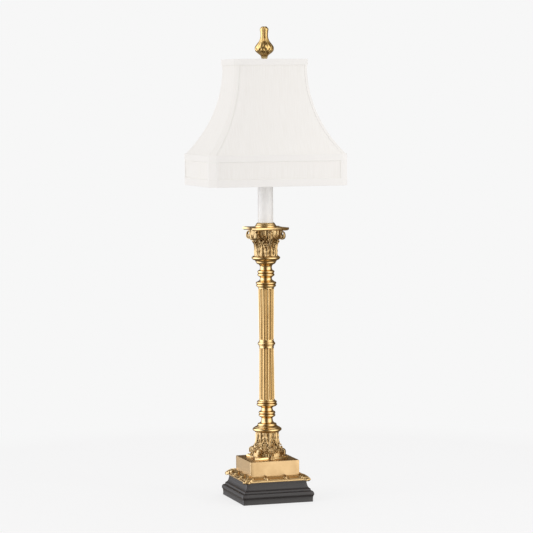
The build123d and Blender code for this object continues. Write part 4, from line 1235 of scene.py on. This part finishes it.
class LAMP_OT_base(bpy.types.Operator):
    """Build the black base, the leaf tray and the plain box"""

    bl_idname = "lamp.base"
    bl_label = "Base, tray and box"

    def execute(self, context):
        sizes = context.scene.lamp_base
        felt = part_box("base_felt")[1].x * 1000 + 0.1
        make(
            "moulded_base",
            [squared(base_profile(sizes.side * 1000, felt), sizes.base_corner * 1000)],
            "stand", material("base_paint"), ["wood_base"], 30.0,
        )
        surfaces = [squared(tray_profile(), 0.5)]
        surfaces += self.leaves()
        # The tray's leaves take the darker brass: painted shade.
        make("tray_with_leaves", surfaces, "stand", material("carved_brass_shaded"), ["leaf_tray"])
        # The box takes the darker brass: painted shade.
        make(
            "plain_box",
            [squared(box_profile(sizes.box_side * 1000, 51.0, 79.6), sizes.box_corner * 1000)],
            "stand", material("box_brass_shaded"), ["brass_box"],
        )
        dress("base_felt", "felt")
        dress("cord_bushing", "rubber")
        for node in ("rod_washer", "rod_nut", "threaded_rod", "lock_nut"):
            dress(node, "zinc")
        return {"FINISHED"}

    def leaves(self):
        """Corner leaves and two smaller ones a side, lying on the tray's slope with their tips past its rim."""
        corner_climb = [
            (68.6, 52.6), (72.0, 53.2), (76.5, 52.8), (81.0, 51.6),
            (85.4, 49.6), (89.6, 47.2), (93.2, 44.6), (94.6, 42.8),
        ]
        corner = leaf_surface(corner_climb, 20.0, 5.0, 1.3, BROAD_LEAF, 4, 4.6, True)
        side_climb = [(50.0, 52.4), (54.0, 52.2), (58.0, 50.8), (61.6, 48.8), (64.6, 46.2), (66.2, 43.8)]
        small = leaf_surface(side_climb, 12.0, 4.0, 1.1, BROAD_LEAF, 3, 2.4, True)
        surfaces = []
        for k in range(4):
            surfaces.append((turned_to(corner, 45 + 90 * k), False, True))
            for x in (-19.5, 19.5):
                shifted = small + np.array([0, x, 0])
                surfaces.append((turned_to(shifted, 90 * k), False, True))
        return surfaces


class LAMP_OT_capitals(bpy.types.Operator):
    """Build both leaf capitals"""

    bl_idname = "lamp.capitals"
    bl_label = "Capitals"

    def execute(self, context):
        settings = context.scene.lamp_capitals
        # Slabs in the lighter brass, a painted highlight; leaves in the darker brass, painted shade.
        carved, slab_highlight = material("carved_brass_shaded"), material("slab_brass_highlight")
        foot, slab = capital_surfaces(settings, 26.0, (38.4, 36.4, 5.8), (45.2, 51.0), 43.6, 9.0, 4.4)
        foot += foot_ornament(settings, 38.4, 36.4, 45.2, 51.0)
        foot = [(flipped(points, 130.6), rows, columns) for points, rows, columns in foot]
        make("leaf_capital_foot", foot, "stand", carved, ["foot_capital"])
        slab = (flipped(slab[0], 130.6), *slab[1:])
        make("leaf_capital_foot_slab", [slab], "stand", slab_highlight)
        top, slab = capital_surfaces(settings, 27.8, (40.9, 37.8, 5.7), (49.6, 55.6), 48.2, 10.0, 4.2)
        lift = np.array([0, 0, 473.6])
        top = [(points + lift, rows, columns) for points, rows, columns in top]
        make("leaf_capital_top", top, "stand", carved, ["top_capital"])
        make("leaf_capital_top_slab", [(slab[0] + lift, *slab[1:])], "stand", slab_highlight)
        return {"FINISHED"}


class LAMP_OT_column(bpy.types.Operator):
    """Build the turned pieces and the fluted shafts"""

    bl_idname = "lamp.column"
    bl_label = "Turned pieces and shafts"

    def execute(self, context):
        settings = context.scene.lamp_column
        for node, stops in TURNINGS.items():
            make(
                f"turned_{node}", [spun(outline(*stops))], "stand",
                material("turned_brass"), [node], 32.0,
            )
        make(
            "fluted_lower", [fluted(192.2, 297.2, 15.1, 14.1, settings, (1.4, 2.2))], "stand",
            material("fluted_brass"), ["lower_shaft"], 42.0,
        )
        make(
            "fluted_upper", [fluted(308.4, 412.4, 14.1, 15.3, settings, (2.0, 1.8))], "stand",
            material("fluted_brass"), ["upper_shaft"], 42.0,
        )
        return {"FINISHED"}


class LAMP_OT_candle(bpy.types.Operator):
    """Build the candle cup and finish the sleeve, socket, switch, bulb and harp"""

    bl_idname = "lamp.candle"
    bl_label = "Candle, socket and harp"

    def execute(self, context):
        cup = outline(
            (5.2, 529.2), (20.7, 529.2), (21.0, 530.0), (20.8, 531.2, -0.1), (19.9, 532.6, -0.2), (19.2, 533.2),
            (18.2, 535.2, -0.35), (16.8, 537.0, -0.35), (15.8, 537.8, -0.15), (14.7, 537.8),
            (14.7, 532.2), (5.2, 532.2),
        )
        make(
            "candle_cup_turned", [spun(cup)], "stand", material("turned_brass"),
            ["candle_cup"], 32.0,
        )
        finishes = {
            "sleeve_white": ["candle_sleeve", "sleeve_cap"],
            "socket_brass": ["socket_cap", "socket_shell", "socket_screw_shell", "centre_contact"],
            "liner_board": ["socket_liner"],
            "phenolic": ["socket_block", "switch_knob"],
            "bright_brass": [
                "harp_saddle", "harp", "harp_stud", "harp_sleeve_left", "harp_sleeve_right",
                "switch_stem", "finial_base",
            ],
            "bulb_metal": ["bulb_cap", "bulb_contact"],
            "frosted_glass": ["bulb_glass"],
        }
        for finish, nodes in finishes.items():
            for node in nodes:
                dress(node, finish)
        return {"FINISHED"}


class LAMP_OT_shade(bpy.types.Operator):
    """Build the cloth panels, corner strips, gallery and tapes of the shade"""

    bl_idname = "lamp.shade"
    bl_label = "Shade"

    def execute(self, context):
        settings = context.scene.lamp_shade
        cloth = material("shade_cloth")
        for name, side, turn, node in (
            ("cloth_front", 0, 0, "shade_panel_front"),
            ("cloth_right", 1, 90, "shade_panel_right"),
            ("cloth_back", 0, 180, "shade_panel_back"),
            ("cloth_left", 1, 270, "shade_panel_left"),
        ):
            surface, flat, width, length, area = panel(side, settings.tension)
            turned = (turned_to(surface[0], turn), *surface[1:])
            piece = make(name, [turned], "shade", cloth, [node], 50.0, flat)
        surface, flat, width, length, area = strip()
        mirror = surface[0] * np.array([-1, 1, 1])
        for name, points in (
            ("cloth_corner_fr", surface[0]),
            ("cloth_corner_fl", mirror),
            ("cloth_corner_bl", turned_to(surface[0], 180)),
            ("cloth_corner_br", turned_to(mirror, 180)),
        ):
            nodes = ["shade_corner_panels"] if name == "cloth_corner_fr" else []
            piece = make(name, [(points, *surface[1:])], "shade", cloth, nodes, 50.0, flat)
        wide, deep = LOW_HALF
        cut = CUTS[1]
        heights = np.linspace(SHADE_LOW, GALLERY_TOP, 9)
        profile = np.concatenate([
            np.stack([0 * heights, heights], 1), np.stack([0 * heights - CLOTH, heights[::-1]], 1),
        ])
        surface, flat, length = band(wide, deep, cut, profile)
        piece = make("cloth_gallery", [surface], "shade", cloth, ["shade_gallery"], 50.0, flat)
        self.tapes(settings, wide, deep, cut)
        for node in ("spider", "top_ring", "gallery_ring", "bottom_ring", "shade_ribs"):
            dress(node, "frame_enamel")
        return {"FINISHED"}

    def tapes(self, settings, wide, deep, cut):
        """Folded tapes round the top, round both edges of the gallery and up its corners."""
        tape = material("shade_tape_cloth")
        proud = settings.tape_proud * 1000
        lower = SHADE_LOW + settings.bottom_tape * 1000
        upper = GALLERY_TOP - settings.gallery_tape * 1000
        rows = (
            ("tape_bottom", wide, deep, cut, SHADE_LOW, lower, "gallery_bottom_tape"),
            ("tape_gallery", wide, deep, cut, upper, GALLERY_TOP, "gallery_top_tape"),
            ("tape_top", *TOP_HALF, CUTS[0], SHADE_HIGH - settings.top_tape * 1000, SHADE_HIGH, "shade_top_tape"),
        )
        for name, half_wide, half_deep, corner, low, high, node in rows:
            surface, flat, length = band(half_wide, half_deep, corner, tape_profile(low, high, proud))
            piece = make(name, [surface], "shade", tape, [node], 45.0, flat)
        low, high = lower, upper
        points, flat, length = corner_tape(wide, deep, cut, low, high, settings.corner_tape * 1000)
        mirror = points * np.array([-1, 1, 1])
        for name, place in (
            ("tape_corner_fr", points), ("tape_corner_fl", mirror),
            ("tape_corner_bl", turned_to(points, 180)), ("tape_corner_br", turned_to(mirror, 180)),
        ):
            piece = make(name, [(place, False, True)], "shade", tape, [], 45.0, flat)


class LAMP_OT_finial(bpy.types.Operator):
    """Build the cast finial"""

    bl_idname = "lamp.finial"
    bl_label = "Finial"

    def execute(self, context):
        surface = finial_surface(context.scene.lamp_finial)
        make("finial_cast", [surface], "finial", material("finial_brass"), ["finial_bud"], 60.0)
        return {"FINISHED"}


class LAMP_OT_stage(bpy.types.Operator):
    """Set up the floor, background, lights and camera"""

    bl_idname = "lamp.stage"
    bl_label = "Stage"

    def execute(self, context):
        settings = context.scene.lamp_stage
        self.camera(context)
        self.world(context, settings)
        self.floor(context, settings)
        self.light(context, "light_left", (-2.4, -0.45, 1.25), (0, 0, 0.55), 1.4, 1.6, settings.left_power)
        self.light(context, "light_right", (0.66, -0.72, 0.86), (0, 0, 0.70), 0.25, 0.6, settings.right_power)
        context.scene.view_settings.view_transform = "Standard"
        return {"FINISHED"}

    def camera(self, context):
        """Camera at the photograph's viewpoint: bearing, pitch and roll about its own axis."""
        bearing, pitch, roll = radians(17.399), radians(4.158), radians(0.429)
        ahead = Vector((sin(bearing) * cos(pitch), cos(bearing) * cos(pitch), -sin(pitch)))
        level_right = Vector((cos(bearing), -sin(bearing), 0))
        level_up = level_right.cross(ahead)
        right = level_right * cos(roll) - level_up * sin(roll)
        up = level_up * cos(roll) + level_right * sin(roll)
        lens = bpy.data.cameras.new("camera")
        lens.sensor_fit = "HORIZONTAL"
        lens.sensor_width = 36.0
        lens.lens = 161.15
        lens.clip_start, lens.clip_end = 0.1, 60.0
        camera = bpy.data.objects.new("camera", lens)
        context.scene.collection.objects.link(camera)
        turn = Matrix((right, up, -ahead)).transposed()
        camera.matrix_world = Matrix.Translation((-1.3764, -4.3960, 0.78743)) @ turn.to_4x4()
        context.scene.camera = camera

    def world(self, context, settings):
        """White studio: camera and transmission rays see the background's tone all round, and diffuse light is
        even. Glossy rays see a dim warm room with a tall soft window of light at the left and one at the right:
        each is full within an inner angle of its bearing and fades to nothing at an outer one."""
        world = bpy.data.worlds.new("studio")
        world.use_nodes = True
        context.scene.world = world
        nodes, links = world.node_tree.nodes, world.node_tree.links
        nodes.clear()
        place = nodes.new("ShaderNodeTexCoord")
        front = self.along(nodes, links, place.outputs["Generated"], (-0.2990, -0.9542, 0.0))
        right = self.along(nodes, links, place.outputs["Generated"], (0.9542, -0.2990, 0.0))
        height = self.along(nodes, links, place.outputs["Generated"], (0.0, 0.0, 1.0))
        bearing = nodes.new("ShaderNodeMath")
        bearing.operation = "ARCTAN2"
        links.new(right, bearing.inputs[0])
        links.new(front, bearing.inputs[1])
        level = self.math(
            nodes, links, "MULTIPLY",
            self.ramp(nodes, links, height, 0.995, 0.80), self.ramp(nodes, links, height, -0.75, -0.20),
        )
        colour = tuple(settings.room_tone)
        for middle, inner, outer, tone in (
            (radians(-92), radians(14), radians(62), tuple(settings.left_tone)),
            (radians(57), radians(10), radians(57), tuple(settings.right_tone)),
        ):
            away = self.math(nodes, links, "ABSOLUTE", self.math(nodes, links, "SUBTRACT", bearing.outputs[0], middle))
            share = self.math(nodes, links, "MULTIPLY", self.ramp(nodes, links, away, outer, inner), level)
            colour = self.mix(nodes, links, share, colour, tone)
        path = nodes.new("ShaderNodeLightPath")
        seen = self.math(
            nodes, links, "MAXIMUM", path.outputs["Is Camera Ray"], path.outputs["Is Transmission Ray"]
        )
        soft = tuple(settings.even_tone)
        above = self.ramp(nodes, links, height, -0.2, 1.0)
        soft = self.mix(nodes, links, above, tuple(0.94 * c for c in soft), tuple(1.14 * c for c in soft))
        even = self.mix(nodes, links, path.outputs["Is Glossy Ray"], soft, colour)
        final = self.mix(nodes, links, seen, even, tuple(settings.floor_tone))
        shine = nodes.new("ShaderNodeBackground")
        out = nodes.new("ShaderNodeOutputWorld")
        links.new(final, shine.inputs["Color"])
        links.new(shine.outputs[0], out.inputs["Surface"])

    def along(self, nodes, links, source, direction):
        """How far a direction points along another."""
        node = nodes.new("ShaderNodeVectorMath")
        node.operation = "DOT_PRODUCT"
        node.inputs[1].default_value = direction
        links.new(source, node.inputs[0])
        return node.outputs["Value"]

    def math(self, nodes, links, how, first, second=None):
        """One sum on a value and a second value or number."""
        node = nodes.new("ShaderNodeMath")
        node.operation = how
        links.new(first, node.inputs[0])
        if isinstance(second, float):
            node.inputs[1].default_value = second
        elif second is not None:
            links.new(second, node.inputs[1])
        return node.outputs["Value"]

    def ramp(self, nodes, links, value, low, high):
        """A value mapped to 0 to 1 between two levels."""
        node = nodes.new("ShaderNodeMapRange")
        node.interpolation_type = "SMOOTHSTEP"
        node.inputs["From Min"].default_value = min(low, high)
        node.inputs["From Max"].default_value = max(low, high)
        node.inputs["To Min"].default_value = 0.0 if low < high else 1.0
        node.inputs["To Max"].default_value = 1.0 if low < high else 0.0
        links.new(value, node.inputs["Value"])
        return node.outputs["Result"]

    def mix(self, nodes, links, share, first, second):
        """Two colours mixed by a share; each may be a socket or a colour."""
        node = nodes.new("ShaderNodeMix")
        node.data_type = "RGBA"
        slots = [s for s in node.inputs if s.type == "RGBA"]
        for slot, colour in zip(slots, (first, second)):
            if isinstance(colour, tuple):
                slot.default_value = (*colour, 1.0)
            else:
                links.new(colour, slot)
        links.new(share, node.inputs["Factor"])
        return next(s for s in node.outputs if s.type == "RGBA")

    def floor(self, context, settings):
        """Pale round floor: to camera and transmission rays it glows at the background's tone and keeps a share
        of its own shading round the lamp, so that only the lamp's shadow shows. Glossy rays pass it and see the
        room."""
        radius = settings.floor_radius
        rings = np.concatenate([[0.0], np.geomspace(0.05, radius, 40)])[:, None]
        angle = np.arange(96) * TURN / 96
        top = np.stack([rings * np.cos(angle), rings * np.sin(angle), 0 * rings + 0 * angle], -1)
        bottom = top[::-1] + np.array([0, 0, -0.01])
        points = np.concatenate([top, bottom])
        faces = cells(len(points), 96, False, True)
        mesh = bpy.data.meshes.new("floor")
        mesh.from_pydata(points.reshape(-1, 3).tolist(), [], faces.tolist())
        build = bmesh.new()
        build.from_mesh(mesh)
        bmesh.ops.remove_doubles(build, verts=build.verts, dist=1e-6)
        bmesh.ops.recalc_face_normals(build, faces=build.faces)
        build.to_mesh(mesh)
        build.free()
        floor = bpy.data.objects.new("floor", mesh)
        context.scene.collection.objects.link(floor)
        paint = bpy.data.materials.new("floor_paint")
        paint.use_nodes = True
        nodes, links = paint.node_tree.nodes, paint.node_tree.links
        nodes.clear()
        tone = tuple(settings.floor_tone)
        matt = nodes.new("ShaderNodeBsdfDiffuse")
        matt.inputs["Color"].default_value = (*tone, 1.0)
        glow = nodes.new("ShaderNodeEmission")
        glow.inputs["Color"].default_value = (*tone, 1.0)
        clear = nodes.new("ShaderNodeBsdfTransparent")
        path = nodes.new("ShaderNodeLightPath")
        seen = self.math(
            nodes, links, "MAXIMUM", path.outputs["Is Camera Ray"], path.outputs["Is Transmission Ray"]
        )
        place = nodes.new("ShaderNodeTexCoord")
        distance = nodes.new("ShaderNodeVectorMath")
        distance.operation = "LENGTH"
        links.new(place.outputs["Object"], distance.inputs[0])
        far = self.ramp(nodes, links, distance.outputs["Value"], 0.25, 1.1)
        glowing = self.math(nodes, links, "MAXIMUM", far, settings.floor_glow)
        share = self.math(nodes, links, "MULTIPLY", seen, glowing)
        lit = nodes.new("ShaderNodeMixShader")
        both = nodes.new("ShaderNodeMixShader")
        out = nodes.new("ShaderNodeOutputMaterial")
        links.new(share, lit.inputs["Fac"])
        links.new(matt.outputs[0], lit.inputs[1])
        links.new(glow.outputs[0], lit.inputs[2])
        links.new(path.outputs["Is Glossy Ray"], both.inputs["Fac"])
        links.new(lit.outputs[0], both.inputs[1])
        links.new(clear.outputs[0], both.inputs[2])
        links.new(both.outputs[0], out.inputs["Surface"])
        mesh.materials.append(paint)

    def light(self, context, name, place, aim, wide, high, power):
        """Soft rectangular light turned towards a point."""
        lamp = bpy.data.lights.new(name, "AREA")
        lamp.shape = "RECTANGLE"
        lamp.size, lamp.size_y, lamp.energy = wide, high, power
        light = bpy.data.objects.new(name, lamp)
        light.visible_glossy = False
        context.scene.collection.objects.link(light)
        towards = Vector(aim) - Vector(place)
        light.matrix_world = Matrix.Translation(place) @ towards.to_track_quat("-Z", "Y").to_matrix().to_4x4()


STEPS = (
    "finishes", "base", "capitals", "column", "candle", "shade", "finial", "stage",
)


class LAMP_PT_panel(bpy.types.Panel):
    """The lamp's steps and settings"""

    bl_label = "Column table lamp"
    bl_idname = "LAMP_PT_panel"
    bl_space_type = "VIEW_3D"
    bl_region_type = "UI"
    bl_category = "Lamp"

    def draw(self, context):
        for step in STEPS:
            self.layout.operator(f"lamp.{step}")
        for name in SETTINGS:
            group = getattr(context.scene, name)
            box = self.layout.box()
            for key in group.bl_rna.properties.keys():
                if key not in ("rna_type", "name"):
                    box.prop(group, key)


SETTINGS = {
    "lamp_finishes": LampFinishSettings,
    "lamp_base": LampBaseSettings,
    "lamp_capitals": LampCapitalSettings,
    "lamp_column": LampColumnSettings,
    "lamp_shade": LampShadeSettings,
    "lamp_finial": LampFinialSettings,
    "lamp_stage": LampStageSettings,
}
CLASSES = (
    *SETTINGS.values(),
    LAMP_OT_finishes,
    LAMP_OT_base,
    LAMP_OT_capitals,
    LAMP_OT_column,
    LAMP_OT_candle,
    LAMP_OT_shade,
    LAMP_OT_finial,
    LAMP_OT_stage,
    LAMP_PT_panel,
)


def register():
    """Register the classes and hang the settings on the scene."""
    for cls in CLASSES:
        bpy.utils.register_class(cls)
    for name, group in SETTINGS.items():
        setattr(bpy.types.Scene, name, bpy.props.PointerProperty(type=group))


def unregister():
    """Take the settings and classes off again."""
    for name in SETTINGS:
        delattr(bpy.types.Scene, name)
    for cls in reversed(CLASSES):
        bpy.utils.unregister_class(cls)


def main():
    """Run every step in order."""
    register()
    for step in STEPS:
        getattr(bpy.ops.lamp, step)()


if __name__ == "__main__":
    main()
